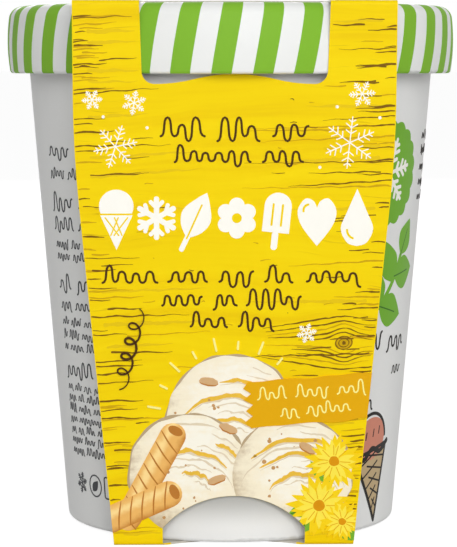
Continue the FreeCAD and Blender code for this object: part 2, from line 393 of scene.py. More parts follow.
def words(rng: random.Random, start: float, end: float, base: float, height: float) -> list[Path]:
    """A row of scribbled words that fills its length.

    Args:
        rng: Source of their unevenness.
        start: Where the row starts.
        end: Where it ends.
        base: Height of the row.
        height: Height of its waves.

    Returns:
        The words' paths.
    """
    gap = height * 0.85
    count = max(1, round((end - start) / (height * rng.uniform(3.0, 4.2))))
    shares = [rng.uniform(0.45, 1.5) for _ in range(count)]
    room = (end - start - gap * (count - 1)) / sum(shares)
    row: list[Path] = []
    left = start
    for share in shares:
        row.append(scribble(rng, left, left + share * room, base, height))
        left += share * room + gap
    return row


def snowflake(centre: Point, radius: float, turn: float = 0.0) -> list[Path]:
    """Strokes of a six-armed snow crystal.

    Args:
        centre: Its middle.
        radius: Length of its arms.
        turn: How far it is turned to the left, in degrees.

    Returns:
        Arms and side twigs.
    """
    strokes = []
    for arm in range(6):
        angle = turn + arm * 60
        strokes.append(move([(0, 0), (1, 0)], centre, angle, radius))
        for root, twig in ((0.35, 0.24), (0.58, 0.27), (0.8, 0.16)):
            for lean in (1, -1):
                tip = (root + twig * 0.55, lean * twig * 0.8)
                strokes.append(move([(root, 0), tip], centre, angle, radius))
    return strokes


def leaf(root: Point, length: float, turn: float, plump: float = 0.32) -> Path:
    """Closed outline of a pointed leaf.

    Args:
        root: Its stalk end.
        length: Its length.
        turn: Direction of its tip in degrees.
        plump: Half its width as a share of its length.

    Returns:
        The outline, turning left.
    """
    half = smooth([(0, 0), (0.22, -0.75 * plump), (0.5, -plump), (0.8, -0.5 * plump), (1, 0)], 4)
    other = [(u, -v) for u, v in reversed(half[1:-1])]
    return move(half + other, root, turn, length)


def blob(rng: random.Random, centre: Point, radius: float, rough: float, corners: int = 22) -> Path:
    """Closed outline of a rough round lump.

    Args:
        rng: Source of its roughness.
        centre: Its middle.
        radius: Its radius.
        rough: Size of its bumps.
        corners: Number of bumps and dips.

    Returns:
        The outline, turning left.
    """
    spots = arc((0, 0), 1, 0, 360, corners)[:-1]
    lumps = [(u * (radius + rng.uniform(-rough, rough)), v * (radius + rng.uniform(-rough, rough)))
             for u, v in spots]
    return move(smooth(lumps, 3, closed=True), centre)


def mirror(path: Sequence[Point]) -> Path:
    """The path mirrored left to right."""
    return [(-u, v) for u, v in path]


def tapered(count: int, width: float, blunt: float = 0.15) -> list[float]:
    """Widths of a stroke that is full in its middle and thin at both ends."""
    return [width * (blunt + (1 - blunt) * math.sin(math.pi * (i + 0.5) / count)) for i in range(count)]


# ---------------------------------------------------------------- shader nodes


@dataclass
class Sheet:
    """Short calls that build a node tree."""

    tree: bpy.types.NodeTree

    def node(self, kind: str, **settings: object) -> bpy.types.Node:
        """Adds a node.

        Args:
            kind: Its type.
            **settings: Its properties.

        Returns:
            The node.
        """
        made = self.tree.nodes.new(kind)
        for name, value in settings.items():
            setattr(made, name, value)
        return made

    def feed(self, socket: Socket, value: object) -> None:
        """Links an output to an input socket, or writes a plain value on it.

        Args:
            socket: The input.
            value: An output, or a plain value.
        """
        if isinstance(value, Socket):
            self.tree.links.new(value, socket)
        else:
            socket.default_value = value

    def run(self, kind: str, inputs: dict, output: str | int | None = 0,
            **settings: object) -> Socket | None:
        """Adds a node and feeds it.

        Args:
            kind: Its type.
            inputs: What goes into its inputs, by name or number.
            output: Name or number of the output that is asked for.
            **settings: Its properties.

        Returns:
            That output, or None where none is asked for.
        """
        made = self.node(kind, **settings)
        for key, value in inputs.items():
            self.feed(made.inputs[key], value)
        return None if output is None else made.outputs[output]

    def math(self, operation: str, *values: object) -> Socket:
        """Result of a Math node."""
        return self.run("ShaderNodeMath", dict(enumerate(values)), operation=operation)

    def scaled(self, value: object, origin: object, scale: object) -> Socket:
        """The value measured from an origin and then scaled."""
        return self.math("MULTIPLY", self.math("SUBTRACT", value, origin), scale)

    def step(self, value: object, low: float, high: float) -> Socket:
        """A smooth step that is 0 at low and 1 at high."""
        return self.run("ShaderNodeMapRange", {"Value": value, "From Min": low, "From Max": high},
                        "Result", interpolation_type="SMOOTHSTEP")

    def mix(self, factor: object, first: object, second: object) -> Socket:
        """Mixes two colours. The numbers are the sockets that the node has for colours."""
        return self.run("ShaderNodeMix", {0: factor, 6: first, 7: second}, 2, data_type="RGBA")

    def toned(self, depth: Socket, colours: Sequence[Colour], steps: Sequence[Point]) -> Socket:
        """A colour that changes to the next one as the depth passes each step.

        Args:
            depth: What is compared.
            colours: Display colours, one more than there are steps.
            steps: Where each change begins and ends.

        Returns:
            The colour.
        """
        tone = linear(colours[0])
        for colour, (low, high) in zip(colours[1:], steps):
            tone = self.mix(self.step(depth, low, high), tone, linear(colour))
        return tone

    def noise(self, vector: object, scale: object, detail: float = 2.0) -> Socket:
        """A noise round 0.5, read at the vector, with scale waves for each metre."""
        fine = {"Vector": vector, "Scale": scale, "Detail": detail, "Roughness": 0.6}
        return self.run("ShaderNodeTexNoise", fine, "Fac")

    def stretch(self, vector: object, scale: Sequence[float]) -> Socket:
        """The vector scaled along each axis."""
        return self.run("ShaderNodeVectorMath", {0: vector, 1: scale}, operation="MULTIPLY")

    def split(self, vector: object) -> tuple[Socket, ...]:
        """The vector's X, Y and Z."""
        return tuple(self.run("ShaderNodeSeparateXYZ", {0: vector}).node.outputs)

    def spot(self) -> Socket:
        """The place on the object, in metres."""
        return self.node("ShaderNodeTexCoord").outputs["Object"]


def fresh_sheet(owner: bpy.types.Material | bpy.types.World) -> Sheet:
    """Empties the nodes of a material or a world.

    Args:
        owner: The material or the world.

    Returns:
        The sheet to build on.
    """
    owner.use_nodes = True
    owner.node_tree.nodes.clear()
    return Sheet(owner.node_tree)


class Group:
    """A shader node group under construction."""

    def __init__(self, name: str, inputs: Sequence[tuple[str, object]], outputs: Sequence[str]) -> None:
        """Makes the group with its sockets.

        Args:
            name: The group's name.
            inputs: Name and starting value of each input, where a colour has four parts.
            outputs: Names of the outputs. The one called Color is a colour.
        """
        self.tree = bpy.data.node_groups.new(name, "ShaderNodeTree")
        for label, start in inputs:
            kind = "NodeSocketColor" if isinstance(start, tuple) else "NodeSocketFloat"
            socket = self.tree.interface.new_socket(name=label, in_out="INPUT", socket_type=kind)
            socket.default_value = start
        for label in outputs:
            kind = "NodeSocketColor" if label == "Color" else "NodeSocketFloat"
            self.tree.interface.new_socket(name=label, in_out="OUTPUT", socket_type=kind)
        self.sheet = Sheet(self.tree)
        self.given = self.sheet.node("NodeGroupInput").outputs
        self.result = self.sheet.node("NodeGroupOutput").inputs

    def give(self, **values: Socket) -> bpy.types.NodeTree:
        """Ends the group.

        Args:
            **values: What goes out, by the output's name.

        Returns:
            The node group.
        """
        for label, value in values.items():
            self.sheet.feed(self.result[label], value)
        return self.tree


def fibre_group() -> bpy.types.NodeTree:
    """The grain of paper and board: a clouded colour, short fibres and their relief.

    Returns:
        The group, made once.
    """
    name = "stock_fibre"
    if name in bpy.data.node_groups:
        return bpy.data.node_groups[name]
    group = Group(name, (("Color", (0.8, 0.8, 0.8, 1.0)), ("Amount", 0.1), ("Cloud Scale", 60.0),
                         ("Fibre Scale", 1500.0)), ("Color", "Relief", "Cloud"))
    sheet, given = group.sheet, group.given
    spot = sheet.spot()
    cloud = sheet.noise(spot, given["Cloud Scale"], 3.0)
    fibre = sheet.noise(spot, given["Fibre Scale"], 4.0)
    blend = sheet.math("MULTIPLY", sheet.math("ADD", cloud, fibre), 0.5)
    swing = sheet.math("ADD", sheet.scaled(blend, 0.5, given["Amount"]), 1.0)
    tint = sheet.run("ShaderNodeVectorMath", {0: given["Color"], "Scale": swing}, operation="SCALE")
    return group.give(Color=tint, Relief=fibre, Cloud=cloud)


def wear_group() -> bpy.types.NodeTree:
    """Rubbed patches: a broken mask that follows a given closeness to an edge or a fold.

    Returns:
        The group, made once.
    """
    name = "rubbed_edge"
    if name in bpy.data.node_groups:
        return bpy.data.node_groups[name]
    group = Group(name, (("Closeness", 0.0), ("Scale", 400.0)), ("Mask",))
    sheet, given = group.sheet, group.given
    spot = sheet.spot()
    coarse = sheet.noise(spot, given["Scale"], 5.0)
    fine = sheet.noise(spot, sheet.math("MULTIPLY", given["Scale"], 6.0), 2.0)
    broken = sheet.math("MULTIPLY", sheet.math("ADD", coarse, fine), 0.5)
    limit = sheet.math("SUBTRACT", 1.02, sheet.math("MULTIPLY", given["Closeness"], 0.52))
    over = sheet.scaled(broken, limit, 14.0)
    return group.give(Mask=sheet.math("MINIMUM", sheet.math("MAXIMUM", over, 0.0), 1.0))


class Coat:
    """A material under construction: one Principled shader and the sheet that feeds it."""

    def __init__(self, name: str, roughness: float, specular: float) -> None:
        """Makes the material with its two plain values set on the shader itself.

        Args:
            name: Name of the material.
            roughness: Its roughness.
            specular: Its specular level.
        """
        self.material = bpy.data.materials.new(name)
        self.sheet = fresh_sheet(self.material)
        values = {"Roughness": roughness, "Specular IOR Level": specular}
        surface = self.sheet.run("ShaderNodeBsdfPrincipled", values)
        self.shader = surface.node
        self.sheet.run("ShaderNodeOutputMaterial", {"Surface": surface}, None)

    def colour(self, value: object) -> None:
        """Feeds the base colour."""
        self.sheet.feed(self.shader.inputs["Base Color"], value)

    def fibre(self, colour: object, amount: float, cloud: float,
              fine: float) -> bpy.types.bpy_prop_collection:
        """Outputs of the stock's grain, given the scales of its clouds and of its fibres."""
        values = {"Color": colour, "Amount": amount, "Cloud Scale": cloud, "Fibre Scale": fine}
        return self.sheet.run("ShaderNodeGroup", values, node_tree=fibre_group()).node.outputs

    def wear(self, closeness: object, scale: float) -> Socket:
        """Mask of rubbed patches of a scale, where closeness is near 1."""
        return self.sheet.run("ShaderNodeGroup", {"Closeness": closeness, "Scale": scale}, "Mask",
                              node_tree=wear_group())

    def relief(self, height: object, depth: float, strength: float) -> None:
        """Feeds a Bump node, depth metres deep, into the shader's normal."""
        values = {"Strength": strength, "Distance": depth, "Height": height}
        self.sheet.feed(self.shader.inputs["Normal"], self.sheet.run("ShaderNodeBump", values))

    def stock(self, colour: object, grain: Sequence[float], relief: Sequence[float],
              source: str = "Relief") -> bpy.types.Material:
        """Ends the material with a colour, the grain of its stock and that grain's relief.

        Args:
            colour: The colour that the grain works on.
            grain: Its strength, the scale of its clouds and the scale of its fibres.
            relief: Depth in metres and strength of the bump.
            source: The output of the grain that gives the height.

        Returns:
            The material.
        """
        made = self.fibre(colour, *grain)
        self.colour(made["Color"])
        self.relief(made[source], *relief)
        return self.material


# ---------------------------------------------------------------- finishes


class Finish(Protocol):
    """What an object is dressed in."""

    def material(self) -> bpy.types.Material:
        """The finish's material."""
        ...


@dataclass(frozen=True)
class Ink:
    """Printing ink: its colour, with the grain of the stock showing through."""

    name: str
    colour: Colour
    mottle: float = 0.1
    roughness: float = 0.5

    def material(self) -> bpy.types.Material:
        """The ink's material, made once.

        Returns:
            The material, the same one each time.
        """
        if self.name in bpy.data.materials:
            return bpy.data.materials[self.name]
        coat = Coat(self.name, self.roughness, 0.12)
        return coat.stock(linear(self.colour), (self.mottle, 90.0, 1600.0), INK_RELIEF)


@dataclass(frozen=True)
class CreamInk:
    """Print of a scoop of cream: lit round ball with scooping ridges and frosty grain."""

    name: str
    centre: Point
    radius: float
    light: Colour = (254, 250, 236)
    body: Colour = (250, 240, 214)
    shade: Colour = (198, 178, 146)

    def material(self) -> bpy.types.Material:
        """Builds the material.

        Returns:
            The material.
        """
        coat = Coat(self.name, 0.5, 0.12)
        sheet = coat.sheet
        spot = sheet.spot()
        x, _, z = sheet.split(spot)
        right, up = (sheet.scaled(place, middle * MM, 1 / (self.radius * MM))
                     for place, middle in zip((x, z), self.centre))
        do = sheet.math
        away = (do("POWER", do("ABSOLUTE", do("SUBTRACT", place, lit)), 2.0)
                for place, lit in ((right, 0.1), (up, 0.25)))
        ball = do("ADD", *away)
        ridge = sheet.noise(sheet.stretch(spot, (90.0, 90.0, 420.0)), 1.0, 4.0)
        frost = sheet.noise(spot, 900.0, 5.0)
        dents = do("ADD", do("MULTIPLY", ridge, 0.9), do("MULTIPLY", frost, 0.5))
        depth = do("ADD", do("MULTIPLY", ball, 0.62), do("SUBTRACT", dents, 0.7))
        tone = sheet.toned(depth, (self.light, self.body, self.shade), ((0.0, 0.45), (0.42, 1.05)))
        return coat.stock(tone, (0.06, 200.0, 1500.0), INK_RELIEF)


@dataclass(frozen=True)
class WaferInk:
    """Print of a rolled wafer: rounded across its axis, browned in spots."""

    name: str
    centre: Point
    turn: float
    half: float
    light: Colour = (255, 222, 150)
    body: Colour = (240, 186, 104)
    dark: Colour = (196, 128, 52)

    def material(self) -> bpy.types.Material:
        """Builds the material.

        Returns:
            The material.
        """
        coat = Coat(self.name, 0.5, 0.12)
        sheet = coat.sheet
        spot = sheet.spot()
        x, _, z = sheet.split(spot)
        angle = math.radians(self.turn)
        across = sheet.math(
            "ADD",
            sheet.scaled(x, self.centre[0] * MM, -math.sin(angle)),
            sheet.scaled(z, self.centre[1] * MM, math.cos(angle)),
        )
        share = sheet.math("MULTIPLY", across, 1 / (self.half * MM))
        from_light = sheet.math("ABSOLUTE", sheet.math("SUBTRACT", share, 0.35))
        browned = sheet.math("SUBTRACT", sheet.noise(spot, 420.0, 4.0), 0.5)
        depth = sheet.math("ADD", from_light, sheet.math("MULTIPLY", browned, 0.9))
        tone = sheet.toned(depth, (self.light, self.body, self.dark), ((0.0, 0.6), (0.75, 1.5)))
        return coat.stock(tone, (0.08, 200.0, 1500.0), INK_RELIEF)


@dataclass(frozen=True)
class CoatedPaper:
    """White coated paper of the tub's wall, with painted shade in the band's arches: a soft grey, darkest at
    the arches' tops where the band's shadow would fall, fading out above and below them.
    """

    places: PackPlaces
    name: str = "coated_paper"
    colour: Colour = (238, 238, 236)
    # painted shade: the grey that the wall takes in the band's arches
    tone: Colour = (178, 178, 174)
    arch_top: float = 11.0
    arch_half: float = 17.0

    def material(self) -> bpy.types.Material:
        """Builds the material.

        Returns:
            The material.
        """
        coat = Coat(self.name, 0.48, 0.25)
        sheet = coat.sheet
        x, y, z = sheet.split(sheet.spot())
        top, half, front = (size * MM for size in (self.arch_top, self.arch_half,
                                                   self.places.wall_radius(0)))
        across, depth = sheet.math("ABSOLUTE", x), sheet.math("ABSOLUTE", y)
        # painted shade: grey that grows towards the arches' tops, fades out above them, and keeps to the
        # arches on the front and back of the wall
        arch_shade_rise = sheet.step(z, 3.0 * MM, top)
        above = sheet.step(z, top, 2 * top)
        beside = sheet.step(across, 0.8 * half, 1.2 * half)
        facing = sheet.step(depth, 0.5 * front, 0.8 * front)
        share = sheet.math("MULTIPLY", arch_shade_rise, facing)
        for outside in (above, beside):
            share = sheet.math("MULTIPLY", share, sheet.math("SUBTRACT", 1.0, outside))
        colour = sheet.mix(share, linear(self.colour), linear(self.tone))
        return coat.stock(colour, (0.05, 40.0, 1300.0), (0.000015, 0.5))


@dataclass(frozen=True)
class SatinPlastic:
    """White moulded plastic of the lid, satin and very slightly wavy."""

    name: str = "satin_plastic"
    colour: Colour = (238, 239, 237)

    def material(self) -> bpy.types.Material:
        """Builds the material."""
        coat = Coat(self.name, 0.42, 0.2)
        return coat.stock(linear(self.colour), (0.03, 30.0, 900.0), (0.00003, 0.5), "Cloud")


class BoardSpots:
    """Masks that tell where a spot of the folded band lies."""

    MARGIN = 1.2 * MM
    FOLD_REACH = 1.2 * MM

    def __init__(self, sheet: Sheet, places: PackPlaces) -> None:
        """Reads where the spot is and how it faces.

        Args:
            sheet: The material's nodes.
            places: Places of the pack.
        """
        self.sheet = sheet
        surface = sheet.node("ShaderNodeNewGeometry").outputs
        self.turn = sheet.split(surface["Normal"])
        _, self.y, z = sheet.split(surface["Position"])
        self.middle = places.height * MM / 2
        self.above = sheet.math("SUBTRACT", z, self.middle)
        self.off_middle = sheet.math("ABSOLUTE", self.above)
        slope = places.panel_depth(1.0) - places.panel_depth(0.0)
        start = places.panel_depth(0.0) * MM
        self.depth = sheet.math("ADD", sheet.math("MULTIPLY", z, slope), start)
        self.out = sheet.math("ABSOLUTE", self.y)

    def cut_edge(self) -> Socket:
        """1 on edges cut across the board."""
        return self.sheet.step(self.sheet.math("ABSOLUTE", self.turn[0]), 0.5, 0.7)

    def outside(self) -> Socket:
        """1 on the printed side of the board.

        Returns:
            The mask.
        """
        do = self.sheet.math
        out_y = do("MULTIPLY", self.turn[1], do("SIGN", self.y))
        out_z = do("MULTIPLY", self.turn[2], do("SIGN", self.above))
        panel = do("GREATER_THAN", self.out, do("SUBTRACT", self.depth, self.MARGIN))
        level = do("GREATER_THAN", self.off_middle, self.middle - self.MARGIN)
        facing = do("MAXIMUM", do("MULTIPLY", out_y, panel), do("MULTIPLY", out_z, level))
        return do("GREATER_THAN", facing, 0.45)

    def near_fold(self) -> Socket:
        """Rises to 1 towards the four folds.

        Returns:
            Closeness to the nearest fold.
        """
        do = self.sheet.math
        inward = do("SUBTRACT", self.depth, self.out)
        below = do("SUBTRACT", self.middle, self.off_middle)
        away = do("ADD", do("MAXIMUM", inward, 0.0), below)
        return do("SUBTRACT", 1.0, self.sheet.step(away, 0.0, self.FOLD_REACH))


@dataclass(frozen=True)
class PrintedBoard:
    """Board of the band: painted wood printed outside, bare grey inside, pale cut edges."""

    places: PackPlaces
    name: str = "printed_board"
    paint: Colour = (246, 213, 0)
    deep_paint: Colour = (240, 203, 0)
    light_paint: Colour = (249, 219, 6)
    vein: Colour = (186, 148, 16)
    bare: Colour = (198, 193, 182)
    core: Colour = (238, 234, 222)
    round_folds: float = 0.93  # metres of grain for each metre along Y, which keeps it level
    wander: float = 0.012
    grain_across: float = 16.0
    grain_along: float = 330.0

    def material(self) -> bpy.types.Material:
        """Builds the material.

        Returns:
            The material.
        """
        coat = Coat(self.name, 0.52, 0.1)
        sheet, spots = coat.sheet, BoardSpots(coat.sheet, self.places)
        plain = coat.fibre(linear(self.bare), 0.2, 120.0, 900.0)
        rubbed = coat.wear(spots.near_fold(), 500.0)
        paint = sheet.mix(rubbed, self._paint(sheet, sheet.spot()), linear(self.core))
        edge = sheet.mix(spots.cut_edge(), plain["Color"], linear(self.core))
        coat.colour(sheet.mix(spots.outside(), edge, paint))
        coat.relief(plain["Relief"], 0.00002, 0.4)
        return coat.material

    def _paint(self, sheet: Sheet, spot: Socket) -> Socket:
        """Yellow painted wood: soft streaks across and faint veins that wander.

        Args:
            sheet: The material's nodes.
            spot: The place on the board.

        Returns:
            The paint's colour.
        """
        wander = sheet.noise(spot, 22.0, 2.0)
        x, y, z = sheet.split(spot)
        along = sheet.math("ADD", z, sheet.math("MULTIPLY", y, self.round_folds))
        bent = sheet.math("ADD", along, sheet.math("MULTIPLY", wander, self.wander))
        place = sheet.run("ShaderNodeCombineXYZ", {
            0: sheet.math("MULTIPLY", x, self.grain_across), 1: 0.5,
            2: sheet.math("MULTIPLY", bent, self.grain_along)})
        streak = sheet.noise(place, 1.0, 4.0)
        fine = sheet.noise(sheet.stretch(place, (3.0, 1.0, 5.0)), 1.0, 3.0)
        paints = (self.paint, self.light_paint, self.deep_paint)
        base = sheet.toned(streak, paints, ((0.45, 0.75), (0.5, 0.3)))
        sides = sheet.step(sheet.math("ABSOLUTE", x), 0.008, 0.03)
        veins = sheet.math("MULTIPLY", sheet.step(fine, 0.64, 0.72), sides)
        return sheet.mix(sheet.math("MULTIPLY", veins, 0.55), base, linear(self.vein))


# ---------------------------------------------------------------- plates of ink


@dataclass
class InkPlates:
    """Thin closed plates of one ink on one surface. A higher layer lies on top of a lower one."""

    surface: Surface
    layer: int
    count: int = 0
    top: float = 0.0
    under: float = 0.0
    vertices: list[Vector] = field(default_factory=list)
    faces: list[Face] = field(default_factory=list)

    SINK = 0.012
    FIRST = 0.03
    STEP = 0.014
    SHADE = 0.0012  # difference in height and depth between plates of one ink that may overlap
    SHADES = 11

    def _next_plate(self) -> None:
        """Makes the next plate a hair thicker or thinner, so that plates of one ink can overlap."""
        self.count += 1
        shade = self.SHADE * (self.count % self.SHADES)
        self.top = self.FIRST + self.STEP * self.layer + shade
        self.under = -self.SINK - shade

    def _pair(self, u: float, v: float) -> int:
        """Adds a point's top and bottom vertices and returns the top one's index.

        Args:
            u: The point's place across the surface.
            v: Its place along it.

        Returns:
            Index of the top vertex.
        """
        self.vertices.append(self.surface.place(u, v, self.top))
        self.vertices.append(self.surface.place(u, v, self.under))
        return len(self.vertices) - 2

    def stroke(self, path: Sequence[Point], width: float | Sequence[float]) -> None:
        """Draws a pen stroke with rounded ends.

        Args:
            path: Points of its middle line.
            width: Its width, or a width for each point.
        """
        self._next_plate()
        widths = list(width) if isinstance(width, Sequence) else [width] * len(path)
        path, widths = refine(path, widths, self.surface.reach)
        path, widths = round_ends(path, widths)
        pairs = []
        for index, (point, wide) in enumerate(zip(path, widths)):
            before = path[max(index - 1, 0)]
            after = path[min(index + 1, len(path) - 1)]
            du, dv = after[0] - before[0], after[1] - before[1]
            half = wide / 2 / (math.hypot(du, dv) or 1.0)
            left = self._pair(point[0] - dv * half, point[1] + du * half)
            right = self._pair(point[0] + dv * half, point[1] - du * half)
            pairs.append((left, right))
        for (left, right), (next_left, next_right) in zip(pairs, pairs[1:]):
            self.faces.append((left, right, next_right, next_left))
            self.faces.append((left + 1, next_left + 1, next_right + 1, right + 1))
            self.faces.append((right, right + 1, next_right + 1, next_right))
            self.faces.append((left, next_left, next_left + 1, left + 1))
        (left, right), (last_left, last_right) = pairs[0], pairs[-1]
        self.faces.append((left, left + 1, right + 1, right))
        self.faces.append((last_left, last_right, last_right + 1, last_left + 1))

    def loop(self, outline: Path, width: float | Sequence[float]) -> None:
        """Draws a pen stroke round a closed outline."""
        self.stroke([*outline, outline[0]], width)

    def strokes(self, paths: Sequence[Path], width: float) -> None:
        """Draws several strokes of one width."""
        for path in paths:
            self.stroke(path, width)

    def patch(self, outline: Sequence[Point], area: Sequence[Point] = ()) -> None:
        """Fills an outline.

        Args:
            outline: Corners of a closed outline.
            area: Another closed outline, which the patch is trimmed to.
        """
        self._next_plate()
        rings = [list(ring) for ring in (outline, area) if ring]
        corners = [Vector(point) for ring in rings for point in ring]
        loops, start = [], 0
        for ring in rings:
            loops.append(list(range(start, start + len(ring))))
            start += len(ring)
        if self.surface.reach < 10:
            corners += [Vector(point) for point in inner_points(outline, self.surface.reach)]
        points, _, triangles, _, _, origins = geometry.delaunay_2d_cdt(corners, [], loops, 0, 1e-5)
        tops: dict[int, int] = {}
        rim: dict[tuple[int, int], None] = {}
        for triangle, origin in zip(triangles, origins):
            if len(set(origin)) < len(rings):
                continue
            for corner in triangle:
                if corner not in tops:
                    tops[corner] = self._pair(points[corner].x, points[corner].y)
            self.faces.append(tuple(tops[corner] for corner in triangle))
            self.faces.append(tuple(tops[corner] + 1 for corner in reversed(triangle)))
            for edge in zip(triangle, [*triangle[1:], triangle[0]]):
                if edge[::-1] in rim:
                    del rim[edge[::-1]]
                else:
                    rim[edge] = None
        for one, other in rim:
            self.faces.append((tops[one], tops[one] + 1, tops[other] + 1, tops[other]))


def new_object(name: str, data: bpy.types.ID) -> bpy.types.Object:
    """Adds an object to the scene.

    Args:
        name: Its name.
        data: Its mesh, light or camera.

    Returns:
        The object.
    """
    made = bpy.data.objects.new(name, data)
    bpy.context.scene.collection.objects.link(made)
    return made


def add_piece(name: str, vertices: Sequence[Vector], faces: Sequence[Face],
              finish: Finish) -> bpy.types.Object:
    """Makes a piece that rides on the pack.

    Args:
        name: The piece's name.
        vertices: Its points in metres.
        faces: Its faces.
        finish: What it is dressed in.

    Returns:
        The new object.
    """
    mesh = bpy.data.meshes.new(name)
    mesh.from_pydata([tuple(v) for v in vertices], [], faces)
    mesh.materials.append(finish.material())
    piece = new_object(name, mesh)
    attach(piece, BODY)
    LOG.info("%s: %d faces", name, len(mesh.polygons))
    return piece


def refine(path: Sequence[Point], widths: Sequence[float], reach: float) -> tuple[Path, list[float]]:
    """Adds points to a path so that no step is longer than reach.

    Args:
        path: Points of a stroke's middle line.
        widths: The width at each point.
        reach: The longest step.

    Returns:
        The longer path and its widths.
    """
    points, wides = [path[0]], [widths[0]]
    for index in range(1, len(path)):
        one, other = path[index - 1], path[index]
        parts = max(1, math.ceil(math.dist(one, other) / reach))
        for part in range(1, parts + 1):
            share = part / parts
            points.append((one[0] + (other[0] - one[0]) * share, one[1] + (other[1] - one[1]) * share))
            wides.append(widths[index - 1] + (widths[index] - widths[index - 1]) * share)
    return points, wides


def round_ends(path: Path, widths: list[float]) -> tuple[Path, list[float]]:
    """Adds points that round both ends of a stroke off.

    Args:
        path: Points of the middle line.
        widths: The width at each point.

    Returns:
        The longer path and its widths.
    """
    path, widths = list(path), list(widths)
    for _ in range(2):
        end, before = path[-1], path[-2]
        length = math.dist(end, before) or 1.0
        along = ((end[0] - before[0]) / length, (end[1] - before[1]) / length)
        half = widths[-1] / 2
        for part in (0.38, 0.71, 0.92):
            path.append((end[0] + along[0] * half * part, end[1] + along[1] * half * part))
            widths.append(2 * half * math.sqrt(1 - part**2))
        path.reverse()
        widths.reverse()
    return path, widths


def inner_points(outline: Sequence[Point], grid: float) -> Path:
    """Points of a square grid that lie inside an outline.

    Args:
        outline: A closed outline.
        grid: Distance between the points.

    Returns:
        The points.
    """
    low_u, high_u = min(p[0] for p in outline), max(p[0] for p in outline)
    low_v, high_v = min(p[1] for p in outline), max(p[1] for p in outline)
    spots = [(low_u + column * grid, low_v + row * grid)
             for row in range(1, int((high_v - low_v) / grid) + 1)
             for column in range(1, int((high_u - low_u) / grid) + 1)]
    return within(spots, outline)


def inside(spot: Point, outline: Sequence[Point]) -> bool:
    """Whether a point lies inside a closed outline.

    Args:
        spot: The point.
        outline: The outline's corners.

    Returns:
        True inside.
    """
    result = False
    for (u0, v0), (u1, v1) in zip(outline, [*outline[1:], outline[0]]):
        if (v0 > spot[1]) != (v1 > spot[1]) and spot[0] < u0 + (spot[1] - v0) / (v1 - v0) * (u1 - u0):
            result = not result
    return result


def within(path: Sequence[Point], area: Sequence[Point]) -> Path:
    """The points of a path that lie inside an outline."""
    return [spot for spot in path if inside(spot, area)]


@dataclass
class Press:
    """Prints on one surface, one piece for each ink and layer. The prefix begins their names."""

    surface: Surface
    prefix: str
    slot: Slot
    runs: dict[str, tuple[InkPlates, Finish]] = field(default_factory=dict)

    def ink(self, name: str, finish: Finish, layer: int) -> InkPlates:
        """The plates of an ink, started at its first use.

        Args:
            name: What is printed with it.
            finish: The ink.
            layer: How high it lies.

        Returns:
            The plates to draw on.
        """
        if name not in self.runs:
            self.runs[name] = (InkPlates(self.surface, layer), finish)
        return self.runs[name][0]

    def finish(self) -> None:
        """Builds a piece for each ink."""
        for name, (plates, finish) in self.runs.items():
            add_piece(f"{self.prefix}_{name}", plates.vertices, plates.faces, finish)


# ---------------------------------------------------------------- sub-assemblies


STRIPE_GREEN = Ink("stripe_green", (130, 184, 52), 0.08, 0.58)
LEAF_GREEN = Ink("leaf_green", (118, 178, 52), 0.1)
DARK_GREEN = Ink("dark_leaf_green", (62, 116, 34), 0.14)
WHITE = Ink("white_ink", (255, 253, 244), 0.05)
BROWN = Ink("brown_ink", (74, 48, 12), 0.12)
GOLD = Ink("gold_ink", (230, 172, 4), 0.1)
PALE_YELLOW = Ink("pale_yellow_ink", (255, 248, 150), 0.06)
CRACK = Ink("crack_brown", (124, 89, 12), 0.35)
SOFT_CRACK = Ink("crack_ochre", (206, 166, 8), 0.3)
SHADOW_YELLOW = Ink("shadow_yellow", (232, 198, 14), 0.12)
CARAMEL = Ink("caramel_ink", (236, 190, 66), 0.5)
CRUMB = Ink("crumb_ink", (196, 150, 96), 0.35)
RIDGE = Ink("cream_ridge", (228, 213, 185), 0.2)
CREAM_SHADOW = Ink("cream_shadow", (186, 164, 130), 0.2)
FLAKE = Ink("almond_flake", (214, 174, 126), 0.35)
PETAL = Ink("petal_yellow", (250, 214, 22), 0.16)
PETAL_TIP = Ink("petal_pale", (255, 234, 78), 0.12)
PETAL_HEART = Ink("petal_heart", (222, 150, 8), 0.3)
CINNAMON = Ink("cinnamon_ink", (188, 122, 50), 0.3)
TEXT_GREY = Ink("text_grey", (72, 73, 75), 0.1)
BLACK = Ink("black_ink", (38, 34, 30), 0.15)
TAN = Ink("tan_ink", (196, 172, 132), 0.16)
PINK = Ink("pink_ink", (214, 140, 118), 0.14)


def dress(node: bpy.types.Object, finish: Finish) -> None:
    """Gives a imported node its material."""
    node.data.materials.clear()
    node.data.materials.append(finish.material())


